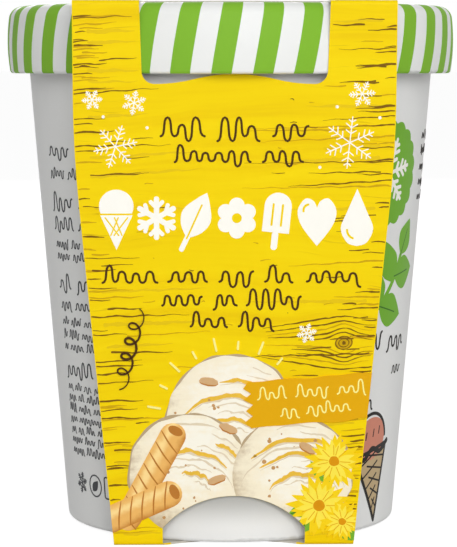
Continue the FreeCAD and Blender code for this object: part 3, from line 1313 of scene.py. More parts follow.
@dataclass
class Lid:
    """Cap lid: white plastic with slanted green stripes and a thin ring on its top panel."""

    places: PackPlaces
    stripes: int = 36
    share: float = 0.49
    first_stripe: float = -1.63
    lean: float = 0.206
    upright_level: float = 8.2
    lift: float = 0.035
    sink: float = 0.02
    columns: int = 6
    recess: float = 1.6
    ring_radius: float = 38.5
    ring_width: float = 0.7

    def build(self, node: bpy.types.Object) -> None:
        """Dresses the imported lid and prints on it.

        Args:
            node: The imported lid.
        """
        dress(node, SatinPlastic())
        profile = LidSkin(self.places).profile()
        vertices: list[Vector] = []
        faces: list[Face] = []
        for number in range(self.stripes):
            faces += plate_faces(len(vertices), len(profile), self.columns + 1)
            vertices += self._stripe(profile, self.first_stripe + number * 360 / self.stripes)
        piece = add_piece("lid_stripes", vertices, faces, STRIPE_GREEN)
        for polygon in piece.data.polygons:
            polygon.use_smooth = True
        piece.data.set_sharp_from_angle(angle=math.radians(50))
        press = Press(Flat(self.places.lid_top - self.recess), "lid", Slot.LID)
        ring = arc((0, 0), self.ring_radius, 0, 360, 120)
        press.ink("ring", LEAF_GREEN, 0).loop(ring[:-1], self.ring_width)
        press.finish()

    def _stripe(self, profile: Sequence[Point], heading: float) -> list[Vector]:
        """Vertices of one stripe, row by row up the profile.

        Args:
            profile: The lid's outline.
            heading: Direction of the stripe's middle in degrees.

        Returns:
            Top and bottom vertices in pairs.
        """
        half = 360 / self.stripes * self.share / 2
        made = []
        for index, (radius, z) in enumerate(profile):
            out_r, out_z = outward(profile, index)
            middle = heading + self.lean * (z - self.places.lid_edge - self.upright_level)
            for column in range(self.columns + 1):
                angle = math.radians(middle + half * (2 * column / self.columns - 1))
                for lift in (self.lift, -self.sink):
                    made.append(around(radius + out_r * lift, angle, z + out_z * lift))
        return made


def outward(profile: Sequence[Point], index: int) -> Point:
    """Direction away from the solid at a point of an outline.

    Args:
        profile: The outline, with the solid on its left.
        index: The point's number.

    Returns:
        The direction as radius and height.
    """
    before = profile[max(index - 1, 0)]
    after = profile[min(index + 1, len(profile) - 1)]
    dr, dz = after[0] - before[0], after[1] - before[1]
    length = math.hypot(dr, dz)
    return (dz / length, -dr / length)


def plate_faces(start: int, rows: int, columns: int) -> list[Face]:
    """Faces of a closed plate whose vertices come in top and bottom pairs, row by row.

    Args:
        start: Index of the plate's first vertex.
        rows: Number of rows.
        columns: Number of pairs in a row.

    Returns:
        The faces.
    """

    def spot(row: int, column: int, under: int = 0) -> int:
        """Index of a vertex."""
        return start + (row * columns + column) * 2 + under

    faces = []
    for row in range(rows - 1):
        for column in range(columns - 1):
            ring = ((row, column), (row, column + 1), (row + 1, column + 1), (row + 1, column))
            faces.append(tuple(spot(r, c) for r, c in ring))
            faces.append(tuple(spot(r, c, 1) for r, c in reversed(ring)))
    around = [(0, c) for c in range(columns)] + [(r, columns - 1) for r in range(1, rows)]
    around += [(rows - 1, c) for c in reversed(range(columns - 1))]
    around += [(r, 0) for r in reversed(range(1, rows - 1))]
    for one, other in zip(around, around[1:] + around[:1]):
        faces.append((spot(*one), spot(*one, 1), spot(*other, 1), spot(*other)))
    return faces


@dataclass
class Band:
    """Cardboard band: its outline, its painted wood and what both panels share."""

    places: PackPlaces
    base_half: float = 24.8
    taper_height: float = 81.9
    blend_radius: float = 240.0
    arch_half: float = 14.7
    arch_side: float = 3.4
    arch_height: float = 10.1
    board: float = 0.4
    fold: float = 1.0
    window_trough: float = 95.4
    window_half: float = 19.1
    window_depth: float = 9.0
    window_margin: float = 4.0  # how far under the windows the dense cracks beside them begin
    long_grain: tuple[float, float] = (70.0, 90.0)  # heights between which the right edge has long grain

    def build(self, node: bpy.types.Object) -> None:
        """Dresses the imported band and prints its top.

        Args:
            node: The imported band.
        """
        dress(node, PrintedBoard(self.places))
        press = Press(Flat(self.places.height), "top", Slot.BAND)
        self.draw_top(press)
        press.finish()

    def half_width(self, z: float) -> float:
        """Half the band's width at a height.

        Args:
            z: The height.

        Returns:
            The half width in millimetres.
        """
        slope = (self.places.band_half - self.base_half) / self.taper_height
        run = self.blend_radius * slope / 2
        straight = self.base_half + slope * min(z, self.taper_height)
        if abs(z - self.taper_height) < run:
            straight -= slope * (run - abs(z - self.taper_height)) ** 2 / (4 * run)
        return straight

    def lower_area(self, top: float) -> Path:
        """Outline of the panel below a height, without the fold and the arch.

        Args:
            top: The height.

        Returns:
            The outline, turning left.
        """
        spring = self.board + self.arch_side
        rise = self.arch_height - self.arch_side
        radius = (self.arch_half**2 + rise**2) / (2 * rise)
        reach = math.degrees(math.asin(self.arch_half / radius))
        head = arc((0, spring + rise - radius), radius + 0.05, 90 + reach, 90 - reach, 24)
        low, edge = self.fold, self.half_width
        return [(-edge(low), low), (-self.arch_half - 0.05, low), *head, (self.arch_half + 0.05, low),
                (edge(low), low), (edge(top), top), (-edge(top), top)]

    def free(self, u: float, v: float, margin: float = 0.6) -> bool:
        """Whether a point lies on the board, clear of its edges.

        Args:
            u: Its place across.
            v: Its height.
            margin: How far it has to lie from an edge.

        Returns:
            True on the board.
        """
        if not self.fold + margin < v < self.places.height - self.fold - margin:
            return False
        if abs(u) > self.half_width(v) - margin:
            return False
        if v > self.window_trough - margin:
            return abs(u) > self.window_half + margin
        return abs(u) > self.arch_half + margin or v > self.board + self.arch_height + margin

    def free_top(self, u: float, v: float, margin: float = 0.6) -> bool:
        """Whether a point of the top lies on the board, clear of folds and windows.

        Args:
            u: Its place along X.
            v: Its place along Y.
            margin: How far it has to lie from an edge.

        Returns:
            True on the board.
        """
        front = self.places.panel_depth(self.places.height) - self.fold
        if abs(u) > self.places.band_half - margin or abs(v) > front - margin:
            return False
        return abs(u) > self.window_half + margin or abs(v) < front - self.window_depth - margin

    def draw_top(self, press: Press) -> None:
        """Draws cracks over the top, from both of its side edges.

        Args:
            press: The top's press.
        """
        rng = random.Random(19)
        plates = (press.ink("wood_ochre", SOFT_CRACK, 1), press.ink("wood_crack", CRACK, 2))
        level = -self.places.panel_depth(self.places.height)
        while level < self.places.panel_depth(self.places.height):
            for side in (-1, 1):
                away = rng.expovariate(1 / 5.0)
                length = min(36.0, 2.0 + rng.expovariate(1 / 8.0))
                self._crack(rng, rng.choice(plates), (side * (self.places.band_half - 0.4 - away), level),
                            -side * length, rng.uniform(0.15, 0.36), self.free_top)
            level += rng.uniform(1.2, 2.6)

    def draw_wood(self, press: Press, seed: int) -> None:
        """Draws fine cracks and dark grain that run in from both edges of a panel.

        Args:
            press: The panel's press.
            seed: Makes each panel's wood its own.
        """
        rng = random.Random(seed)
        shadow = press.ink("wood_shadow", SHADOW_YELLOW, 0)
        ochre = press.ink("wood_ochre", SOFT_CRACK, 1)
        crack = press.ink("wood_crack", CRACK, 2)
        level = self.fold + 1.5
        while level < self.places.height - self.fold - 1.5:
            for side in (-1, 1):
                long_grain = side > 0 and self.long_grain[0] < level < self.long_grain[1]
                beside_window = level > self.window_trough - self.window_margin
                for _ in range(rng.choice((2, 3, 4) if beside_window else (1, 1, 2, 3))):
                    v = level + rng.gauss(0, 0.8)
                    away = rng.choice((0.0, 0.0, 1.0)) * rng.expovariate(1 / 4.0)
                    length = min(30.0, 1.8 + rng.expovariate(1 / (11.0 if long_grain else 4.6)))
                    plates = rng.choice((ochre, ochre, crack, crack, crack))
                    self._crack(rng, plates, (side * (self.half_width(v) - 0.3 - away), v),
                                -side * length, rng.uniform(0.15, 0.36))
                if rng.random() < 0.3:
                    self._crack(rng, shadow, (side * self.half_width(level) * 0.9, level),
                                -side * rng.uniform(9, 26), rng.uniform(0.4, 0.8))
            level += rng.uniform(1.4, 2.6)
        for _ in range(40):
            spot = (rng.uniform(-20, 20), self.fold + 2 + rng.random() * (self.window_trough - 6))
            self._crack(rng, rng.choice((ochre, ochre, crack)), spot, rng.uniform(-2.6, 2.6),
                        rng.uniform(0.1, 0.2))

    def _crack(self, rng: random.Random, plates: InkPlates, start: Point, length: float,
               width: float, free: Callable[[float, float, float], bool] | None = None) -> None:
        """Draws a crack that wanders across the board, as far as the board goes.

        Args:
            rng: Source of its unevenness.
            plates: The ink that draws it.
            start: Where it starts.
            length: How far it runs, less than nothing for one that runs left.
            width: Its width where it starts.
            free: Tells where the board is. The panels' own test when it is left out.
        """
        free = free or self.free
        steps = max(4, int(abs(length) / 0.8))
        drift = rng.uniform(0.0, 0.07) * length
        bend = rng.uniform(0.05, 0.14)
        path: Path = []
        for step in range(steps + 1):
            wander = bend * math.sin(step * 0.9 + start[0]) + rng.uniform(-0.04, 0.04)
            spot = (start[0] + length * step / steps, start[1] + drift * step / steps + wander)
            if not free(*spot, 0.25):
                break
            path.append(spot)
        if len(path) > 2:
            swell = [math.sin(math.pi * (0.35 + 0.65 * step / len(path))) for step in range(len(path))]
            plates.stroke(path, [max(0.05, 1.15 * width * share * rng.uniform(0.6, 1.25)) for share in swell])

    def draw_knot(self, press: Press, centre: Point) -> None:
        """Draws a small knot in the wood, with grain that flows round it.

        Args:
            press: The panel's press.
            centre: Middle of the knot.
        """
        rng = random.Random(7)
        dark = press.ink("wood_crack", CRACK, 2)
        soft = press.ink("wood_ochre", SOFT_CRACK, 1)
        soft.patch(ellipse(centre, 1.9, 1.4, 10, 20))
        dark.patch(blob(rng, centre, 0.42, 0.1, 9))
        for size in (0.85, 1.35):
            eye = ellipse(centre, 1.25 * size, size, 10, 18)
            dark.loop(eye, [rng.uniform(0.12, 0.3) for _ in range(19)])
        side = 1 if centre[0] > 0 else -1
        for number, (gap, bulge) in enumerate(((0.7, 1.5), (1.6, 1.5), (2.6, 1.3), (3.7, 0.9), (5.0, 0.5))):
            for up in (1, -1):
                start = -rng.uniform(9, 17)
                flow: Path = []
                for step in range(33):
                    away = start + step * 0.8
                    spot = (centre[0] + side * away, centre[1] + up * (gap * min(1.0, 1.15 + away / 30)
                            + bulge * math.exp(-((away / 2.8) ** 2))) + rng.uniform(-0.07, 0.07))
                    if self.free(*spot, margin=0.25):
                        flow.append(spot)
                plates = soft if (number + (up > 0)) % 3 == 0 else dark
                plates.stroke(flow, [w * rng.uniform(0.6, 1.3) for w in tapered(len(flow), 0.3)])


@dataclass(frozen=True)
class Scoop:
    """A printed scoop of cream."""

    name: str
    centre: Point
    radius: float
    layer: int


@dataclass
class FrontPrint:
    """Print of the front panel: rows of scribble, seven white signs, cream, wafers, flowers."""

    band: Band
    pen: float = 0.46
    thin_pen: float = 0.22
    sign_pen: float = 1.75
    sign_size: float = 1.06
    signs_left: float = -23.9
    signs_pitch: float = 8.12
    signs_middle: float = 68.3
    picture_top: float = 44.0
    seam_pitch: float = 2.6
    rays: int = 8
    rays_gap: float = 1.5
    rays_start: float = 52.0
    rays_fan: float = 118.0
    ray_lengths: tuple[float, float] = (1.5, 2.5)
    curl_place: Point = (-19.6, 48.4)
    curl_turn: float = -14.0
    curl_turns: float = 4.5
    curl_length: float = 14.5
    curl_reach: float = 1.35
    label_middle: float = 29.4
    label_half: float = 4.7
    label_turn: float = 4.6
    rows: tuple[tuple[float, float, float, float], ...] = (
        (-15.1, 15.0, 84.9, 3.3),
        (-12.2, 13.6, 79.7, 3.0),
        (-26.8, 25.5, 55.1, 3.1),
        (-14.8, 13.6, 50.4, 2.9),
        (-9.0, 8.0, 45.9, 2.8),
    )
    scoops: tuple[Scoop, ...] = (
        Scoop("scoop_top", (-0.4, 26.4), 13.5, 4),
        Scoop("scoop_left", (-9.4, 15.2), 12.4, 7),
        Scoop("scoop_right", (12.2, 14.8), 12.2, 10),
    )
    press: Press = field(init=False)
    area: Path = field(init=False)

    def __post_init__(self) -> None:
        """Sets the press up, and the part of the panel that the picture is trimmed to."""
        self.press = Press(Panel(self.band.places, Side.FRONT), "front", Slot.BAND)
        self.area = self.band.lower_area(self.picture_top)

    def build(self) -> None:
        """Prints the panel."""
        self.band.draw_wood(self.press, 11)
        self.band.draw_knot(self.press, (22.4, 42.6))
        for part in (self._rows, self._signs, self._crystals, self._cream, self._wafers,
                     self._flowers, self._pen_marks, self._label):
            part()
        self.press.finish()

    def _rows(self) -> None:
        """Rows of brown scribble above and below the white signs."""
        rng = random.Random(21)
        for start, end, base, height in self.rows:
            self.press.ink("rows", BROWN, 4).strokes(words(rng, start, end, base, height), self.pen)

    def _at(self, number: int, shape: Path, turn: float = 0.0) -> Path:
        """Moves a drawing to the place of a sign, and turns it in degrees."""
        return move(shape, (self.signs_left + self.signs_pitch * number, self.signs_middle), turn,
                    self.sign_size)

    def _signs(self) -> None:
        """Prints seven bold white signs: cone, crystal, leaf, flower, ice bar, heart and drop."""
        plates = self.press.ink("signs", WHITE, 4)
        pen = self.sign_pen
        cone, crystal, leaf_sign, flower, bar, heart, drop_sign = range(7)
        plates.patch(self._at(cone, [(-3.1, 0.6), (0, -6.1), (3.1, 0.6)]))
        plates.patch(self._at(cone, ellipse((0, 2.3), 3.3, 3.2)))
        for arm in range(6):
            plates.stroke(self._at(crystal, [(0, 0), (3.7, 0)], 90 + arm * 60), pen * 0.62)
            for lean in (1, -1):
                plates.stroke(self._at(crystal, [(2.0, 0), (3.1, 1.1 * lean)], 90 + arm * 60), pen * 0.48)
        blade = leaf((-1.9, -3.9), 9.6, 66, 0.3)
        plates.patch(self._at(leaf_sign, blade))
        plates.stroke(self._at(leaf_sign, [(-2.9, -6.0), (-1.2, -2.4)]), pen * 0.6)
        for petal in range(6):
            plates.patch(self._at(flower, ellipse((0, 2.4), 1.5, 1.55), petal * 60))
        plates.patch(self._at(flower, ellipse((0, 0), 1.9, 1.9)))
        plates.patch(self._at(bar, arc((0, 2.3), 2.6, 0, 180, 12) + [(-2.6, -2.8), (2.6, -2.8)], -6))
        plates.stroke(self._at(bar, [(0, -3.2), (0, -5.6)], -6), pen * 0.75)
        half = smooth([(0, -5.4), (2.9, -1.6), (3.7, 1.4), (2.3, 3.7), (0.7, 3.3), (0, 2.0)], 4)
        plates.patch(self._at(heart, half[:-1] + mirror(half[1:])[::-1]))
        drop = smooth([(0, 5.6), (-1.9, 1.2), (-3.1, -2.0), (-1.9, -4.7), (0, -5.4)], 4)
        plates.patch(self._at(drop_sign, drop[:-1] + mirror(drop[1:])[::-1]))

        marks = self.press.ink("sign_marks", Ink("panel_yellow", (245, 214, 0), 0.1), 5)
        for lean in (-1, 1):
            for shift in (-0.9, 0.9):
                line = [(-1.25 * lean + shift, 0.1), (lean * 0.75 + shift * 0.35, -3.3)]
                marks.stroke(self._at(cone, line), 0.28)
        marks.stroke(self._at(cone, [(-3.1, 0.75), (3.1, 0.75)]), 0.35)
        marks.stroke(self._at(leaf_sign, [blade[0], (blade[0][0] + 2.9, blade[0][1] + 6.4)]), 0.35)
        marks.patch(self._at(flower, ellipse((0, 0), 0.95, 0.95)))
        for shift in (-0.9, 0.9):
            marks.stroke(self._at(bar, [(shift, -1.4), (shift, 2.6)], -6), 0.42)
        marks.stroke(self._at(heart, arc((-1.5, 1.5), 1.1, 100, 190, 6)), 0.45)
        marks.stroke(self._at(drop_sign, arc((-0.2, -2.3), 1.7, 180, 250, 6)), 0.45)

    def _crystals(self) -> None:
        """Fine white snow crystals near the upper corners and beside the rows."""
        plates = self.press.ink("crystals", WHITE, 4)
        for centre, radius, turn in (((-24.0, 82.8), 4.4, 12), ((-20.2, 91.6), 2.4, 20),
                                     ((-28.6, 92.2), 2.0, 4), ((23.2, 83.6), 5.2, 24),
                                     ((25.6, 93.4), 2.6, 5), ((14.8, 44.6), 2.0, 14)):
            plates.strokes(snowflake(centre, radius, turn), self.thin_pen)
        for spot in ((-26.4, 88.8), (-17.6, 86.6), (20.6, 90.8), (29.2, 88.6), (17.2, 78.6)):
            plates.patch(ellipse(spot, 0.33, 0.33, steps=10))

    def _cream(self) -> None:
        """Prints three scoops of cream with scooping ridges, caramel ripple, flakes and crumbs."""
        rng = random.Random(5)
        press, area = self.press, self.area
        for scoop in self.scoops:
            name, centre, radius, layer = scoop.name, scoop.centre, scoop.radius, scoop.layer
            press.ink(f"{name}_shadow", CREAM_SHADOW, layer - 1).patch(
                blob(rng, (centre[0], centre[1] + 0.35), radius + 0.1, 0.3, 30), area)
            cream = press.ink(name, CreamInk(name, centre, radius), layer)
            cream.patch(blob(rng, centre, radius, 0.35, 30), area)
            self._ripples(rng, scoop)
            crumbs = press.ink(f"{name}_crumbs", CRUMB, layer + 1)
            for _ in range(15):
                turn, away = rng.uniform(0, math.tau), radius * math.sqrt(rng.random()) * 0.88
                spot = (centre[0] + away * math.cos(turn), centre[1] + away * math.sin(turn))
                size = rng.uniform(0.14, 0.42)
                lump = blob(rng, spot, size, size * 0.25, 7)
                if within(lump, area) == lump:
                    crumbs.patch(lump)
        flakes = press.ink("flakes", FLAKE, 12)
        edges = press.ink("flake_edges", CINNAMON, 13)
        for spot, turn in (((-5.2, 34.6), -8), ((-1.2, 24.8), -24),
                           ((-3.6, 14.0), 20), ((15.2, 20.6), -30)):
            flake = [(u + rng.uniform(-0.1, 0.1), v + rng.uniform(-0.1, 0.1))
                     for u, v in ellipse(spot, 2.0, 0.85, turn, 16)]
            flakes.patch(flake)
            edges.stroke(flake[9:16], tapered(7, 0.3))

    def _ripples(self, rng: random.Random, scoop: Scoop) -> None:
        """Prints the ridges and the caramel that bend over a scoop.

        Args:
            rng: Source of their unevenness.
            scoop: The scoop.
        """
        centre, radius = scoop.centre, scoop.radius
        ridge = self.press.ink(f"{scoop.name}_ridges", RIDGE, scoop.layer + 1)
        ripple = self.press.ink(f"{scoop.name}_ripple", CARAMEL, scoop.layer + 1)
        pivot = (centre[0] + radius * rng.uniform(-0.1, 0.25), centre[1] - radius * 0.6)
        for step in range(9):
            reach = radius * (0.5 + 0.12 * step)
            first = rng.uniform(18, 60)
            last = first + rng.uniform(35, 105)
            path = arc(pivot, reach, first, last, 22)
            phase = rng.uniform(0, 6)
            path = [(u, v + 0.22 * math.sin(phase + index * 0.8) + rng.uniform(-0.1, 0.1))
                    for index, (u, v) in enumerate(path)]
            kept = within([spot for spot in path if math.dist(spot, centre) < radius - 0.9], self.area)
            if len(kept) < 5:
                continue
            if step in (1, 4, 6):
                ripple.stroke(kept, [w * rng.uniform(0.6, 1.3) for w in tapered(len(kept), 1.15)])
                kept = [(u + 0.1, v - 0.55) for u, v in kept]
            ridge.stroke(kept, [w * rng.uniform(0.5, 1.4) for w in tapered(len(kept), 0.42)])

    def _wafers(self) -> None:
        """Two rolled wafers that lean on the scoops from the left."""
        press, area = self.press, self.area
        for name, centre, turn, length, half, layer in (
            ("wafer_back", (-17.2, 14.6), 62, 25.0, 2.7, 14),
            ("wafer_front", (-19.6, 8.2), 24, 19.0, 2.8, 16),
        ):
            body = arc((length / 2 - half, 0), half, -90, 90, 10)
            body += arc((half - length / 2, 0), half, 90, 270, 10)
            roll = press.ink(name, WaferInk(name, centre, turn, half), layer)
            roll.patch(move(body, centre, turn), area)
            seams = press.ink(f"{name}_seams", CINNAMON, layer + 1)
            for step in range(1, int(length / self.seam_pitch)):
                at = -length / 2 + step * self.seam_pitch
                seam = smooth([(at - 1.4, -half * 0.94), (at - 0.2, 0), (at + 1.4, half * 0.94)], 4)
                seam = within(move(seam, centre, turn), area)
                if len(seam) > 2:
                    seams.stroke(seam, tapered(len(seam), 0.34, 0.4))
            mouth = ellipse(move([(length / 2 - 1.5, 0)], centre, turn)[0], 0.95, half * 0.6, turn, 16)
            if within(mouth, area) == mouth:
                seams.patch(mouth)

    def _flowers(self) -> None:
        """Yellow daisies with leaves at the lower right."""
        press, area = self.press, self.area
        rng = random.Random(9)
        greens = press.ink("leaves", LEAF_GREEN, 11)
        darks = press.ink("leaf_veins", DARK_GREEN, 12)
        for root, length, turn in (((19.5, 9.5), 9.0, 200), ((21.5, 6.5), 7.5, -62),
                                   ((20.5, 13.0), 8.0, 128), ((17.0, 6.0), 6.0, 215)):
            greens.patch(leaf(root, length, turn, 0.24), area)
            vein = within(move([(0.1, 0), (0.5, 0.02), (0.9, 0)], root, turn, length), area)
            if len(vein) > 1:
                darks.stroke(vein, 0.22)
        for number, (centre, radius) in enumerate((
            ((20.6, 17.8), 5.4), ((17.6, 8.4), 6.0), ((22.4, 5.0), 4.0),
        )):
            layer = 13 + number * 4
            for ring, (share, count, name, ink) in enumerate((
                (1.0, 19, "petals", PETAL), (0.74, 15, "inner_petals", PETAL_TIP),
            )):
                plates = press.ink(f"{name}_{number + 1}", ink, layer + ring)
                for petal in range(count):
                    turn = petal * 360 / count + rng.uniform(-7, 7)
                    reach = radius * share * rng.uniform(0.88, 1.06)
                    shape = leaf(move([(0.12, 0)], centre, turn, radius)[0], reach, turn, 0.15)
                    plates.patch(shape, area)
            lines = press.ink(f"petal_lines_{number + 1}", GOLD, layer + 2)
            for petal in range(11):
                turn = petal * 360 / 11 + rng.uniform(-9, 9)
                line = within(move([(0.25, 0), (0.62, 0)], centre, turn, radius), area)
                if len(line) > 1:
                    lines.stroke(line, 0.16)
            heart = press.ink(f"flower_heart_{number + 1}", PETAL_HEART, layer + 3)
            heart.patch(blob(rng, centre, radius * 0.2, 0.1, 12), area)

    def _pen_marks(self) -> None:
        """Prints a fan of short pale rays over the cream and a brown curl beside the rows."""
        pale = self.press.ink("rays", PALE_YELLOW, 24)
        scoop = self.scoops[0]
        start = scoop.radius + self.rays_gap
        for number in range(self.rays):
            turn = self.rays_start + self.rays_fan * number / (self.rays - 1)
            ray = [(start, 0), (start + self.ray_lengths[number % 2], 0)]
            pale.stroke(move(ray, scoop.centre, turn), 0.42)
        curl: Path = []
        steps, reach = 108, self.curl_reach
        for step in range(steps + 1):
            angle = math.tau * self.curl_turns * step / steps
            down = self.curl_length * step / steps
            curl.append((reach * math.sin(angle), reach * math.cos(angle) - down))
        curl = move(curl, self.curl_place, self.curl_turn)
        self.press.ink("curl", BROWN, 25).stroke(curl, tapered(len(curl), 0.5, 0.4))

    def _label(self) -> None:
        """Gold brush stroke that runs off the right edge, with two rows of pale scribble."""
        rng = random.Random(3)
        half, left, right = self.label_half, 3.2, 32.0
        low = [(left + (right - left) * step / 9, -half + rng.uniform(-0.3, 0.3)) for step in range(10)]
        high = [(u, half + rng.uniform(-0.3, 0.3)) for u, _ in reversed(low)]
        bristles = [(left + (-1.3 if tooth % 2 else 0.9) * rng.uniform(0.5, 1.0),
                     half - 2 * half * tooth / 8) for tooth in range(1, 8)]
        middle = (0, self.label_middle)
        outline = move(smooth(low, 3) + smooth(high, 3) + bristles, middle, self.label_turn)
        self.press.ink("label", GOLD, 26).patch(outline, self.area)
        pale = self.press.ink("label_rows", PALE_YELLOW, 27)
        for start, end, base, height in ((5.0, 27.2, 0.9, 2.3), (9.4, 23.6, -2.8, 2.1)):
            for word in words(rng, start, end, base, height):
                pale.stroke(move(word, middle, self.label_turn), 0.3)


@dataclass
class BackPrint:
    """Print of the back panel: rows of scribble, a table and a white field."""

    band: Band
    pen: float = 0.34
    press: Press = field(init=False)
    rng: random.Random = field(init=False)

    def __post_init__(self) -> None:
        """Sets up the press and the source of the scribble's unevenness."""
        self.press = Press(Panel(self.band.places, Side.BACK), "back", Slot.BAND)
        self.rng = random.Random(31)

    def build(self) -> None:
        """Prints the panel."""
        press, rng = self.press, self.rng
        self.band.draw_wood(press, 12)
        self.band.draw_knot(press, (-22.5, 50.0))
        rows = press.ink("rows", BROWN, 4)
        for number in range(5):
            rows.strokes(words(rng, -20 + number * 0.4, 20 - number, 84.5 - number * 4.6, 2.4), self.pen)
        self._table()
        self._field()
        white = press.ink("crystals", WHITE, 4)
        for centre, radius, turn in (((-25.2, 88.6), 4.6, 8), ((25.6, 89.4), 3.6, 22),
                                     ((-21.0, 25.5), 3.2, 15)):
            white.strokes(snowflake(centre, radius, turn), 0.2)
        press.finish()

    def _table(self) -> None:
        """White table with brown lines and short scribbles."""
        press, rng = self.press, self.rng
        left, right, low, high, lines = -20.0, 20.0, 33.0, 58.0, 6
        press.ink("fields", WHITE, 3).patch(rectangle(left, right, low, high))
        grid = press.ink("table", BROWN, 4)
        pitch = (high - low) / lines
        for line in range(lines + 1):
            grid.stroke([(left, low + line * pitch), (right, low + line * pitch)], 0.22)
        for u in (left, 4.0, right):
            grid.stroke([(u, low), (u, high)], 0.22)
        for line in range(lines):
            base = low + line * pitch + 1.2
            grid.strokes(words(rng, left + 1.5, 2.0, base, 1.7), 0.26)
            grid.strokes(words(rng, 6.0, 6.0 + rng.uniform(6, 11), base, 1.7), 0.26)

    def _field(self) -> None:
        """Prints a white field with a crystal and three short rows of scribble."""
        press, rng = self.press, self.rng
        left, right, low, high = -4.0, 20.0, 15.0, 28.0
        press.ink("fields", WHITE, 3).patch(rectangle(left, right, low, high))
        marks = press.ink("table", BROWN, 4)
        marks.strokes(snowflake((left + 5.6, (low + high) / 2), 4.0, 30), 0.34)
        for row in range(3):
            marks.strokes(words(rng, left + 11.4, right - 1.4, low + 1.9 + row * 3.8, 1.8), 0.28)


@dataclass
class TubPrint:
    """Print of the tub's wall on both sides of the band."""

    places: PackPlaces
    note_rows: tuple[Point, ...] = (
        (80.0, 2.7), (75.8, 1.6), (69.2, 2.8), (64.5, 2.3), (60.7, 1.5), (58.2, 1.5), (51.8, 2.8),
        (47.6, 2.0), (44.2, 1.4), (41.5, 1.4), (38.8, 1.5), (33.3, 2.6), (30.2, 1.35), (27.9, 1.35),
        (25.6, 1.35), (23.3, 1.35), (21.0, 1.35), (18.7, 1.35), (16.4, 1.35),
    )

    def build(self) -> None:
        """Prints all four quarters of the wall."""
        self._notes(Wall(self.places, -62.0), "left", 41)
        self._badge(Wall(self.places, 56.0), "right")
        self._notes(Wall(self.places, 118.0), "rear_left", 43)
        self._badge(Wall(self.places, -124.0), "rear_right")

    def _notes(self, wall: Wall, name: str, seed: int) -> None:
        """Blocks of small grey scribble with plain round and square marks below.

        Args:
            wall: The quarter of the wall, with its notes starting at the heading.
            name: The quarter's name.
            seed: Makes each quarter's scribble its own.
        """
        press = Press(wall, name, Slot.TUB)
        rng = random.Random(seed)
        rows = press.ink("notes", TEXT_GREY, 1)
        start, end = -2.9, 15.5
        for level, height in self.note_rows:
            pen = 0.13 + 0.09 * height
            rows.strokes(words(rng, start, end, level, height), pen)
        ring = ellipse((6.4, 10.0), 2.3, 2.3, 0, 24)
        rows.loop(ring, 0.3)
        rows.patch(leaf((5.3, 8.8), 3.2, 47, 0.3))
        square = rounded_square((12.2, 10.0), 2.3, 0.6)
        rows.loop(square, 0.3)
        rows.strokes(snowflake((0.4, 10.0), 2.3, 15), 0.24)
        press.finish()

    def _badge(self, wall: Wall, name: str) -> None:
        """Green rosette with a crystal, a leafy twig, dark scribble and a drawn cone.

        Args:
            wall: The quarter of the wall, with the drawings round its heading.
            name: The quarter's name.
        """
        press = Press(wall, name, Slot.TUB)
        rng = random.Random(17)
        green = press.ink("green", LEAF_GREEN, 1)
        middle, radius, bump, scallops, chords = (-3.6, 76.6), 10.5, 0.8, 18, 6
        edge: Path = []
        for step in range(scallops * chords):
            reach = radius + bump * abs(math.sin(math.pi * step / chords))
            edge += move([(reach, 0)], middle, 360 * step / (scallops * chords))
        green.patch(edge)
        white = press.ink("crystals", WHITE, 2)
        white.strokes(snowflake(middle, 7.4, 12), 0.8)
        stem = smooth([(-9.4, 45.0), (-4.0, 48.2), (1.2, 53.6), (4.6, 60.0)], 5)
        green.stroke(stem, 1.1)
        veins = press.ink("leaf_veins", DARK_GREEN, 2)
        for root, length, turn, vein in (((4.0, 59.0), 8.5, 62, 6.0), ((1.6, 54.6), 10.0, 8, 7.0),
                                         ((0.8, 53.4), 9.5, 112, 0), ((-3.8, 48.6), 10.0, -14, 7.0),
                                         ((-4.8, 47.8), 9.5, 96, 0)):
            green.patch(leaf(root, length, turn, 0.36))
            if vein:
                veins.stroke([root, move([(1, 0)], root, turn, vein)[0]], 0.28)
        dark = press.ink("notes", BLACK, 1)
        dark.strokes(words(rng, -9.0, 9.6, 39.4, 3.2), 0.5)
        dark.strokes(words(rng, 4.4, 9.4, 33.4, 2.2), 0.34)
        dark.strokes(words(rng, -10.5, -3.4, 26.6, 2.7), 0.42)
        for level in (83.6, 80.4, 76.8, 73.6, 70.4):
            dark.strokes(words(rng, 12.2, 20.8, level, 1.5), 0.24)
        self._cone(press, (0.8, 2.0))
        press.finish()

    def _cone(self, press: Press, tip: Point) -> None:
        """Drawn cone: tan wafer with dark hatching and a pink ball on top.

        Args:
            press: The wall's press.
            tip: Where the cone's point is.
        """
        lean, half, high = 11, 6.4, 15.8
        shell = move([(0, 0), (half, high), (-half, high)], tip, lean)
        press.ink("cone", TAN, 1).patch(shell)
        press.ink("ball", PINK, 1).patch(move(ellipse((0, high + 2.6), 5.7, 4.6, steps=34), tip, lean))
        lines = press.ink("cone_lines", BLACK, 2)
        lines.loop(shell, 0.8)
        rim = smooth([(-half - 0.6, high), (-3.2, high - 1.2), (0, high + 0.4), (3.3, high - 1.1),
                      (half + 0.7, high + 0.1)], 5)
        lines.stroke(move(rim, tip, lean), 1.1)
        lines.stroke(move(arc((0, high + 2.2), 5.9, -4, 184, 22), tip, lean), 0.7)
        for shift in (-2.2, 0.6, 3.0):
            lines.stroke(move([(shift, high + 3.0), (shift + 0.5, high + 4.4)], tip, lean), 0.35)
        for step in range(1, 6):
            v = step * high / 6
            wide = half * v / high
            lines.stroke(move([(-wide, v), (wide * 0.5, v + 2.3)], tip, lean), 0.4)
            lines.stroke(move([(wide, v), (-wide * 0.5, v + 2.3)], tip, lean), 0.4)


def rectangle(left: float, right: float, low: float, high: float) -> Path:
    """Closed outline of a rectangle, turning left."""
    return [(left, low), (right, low), (right, high), (left, high)]


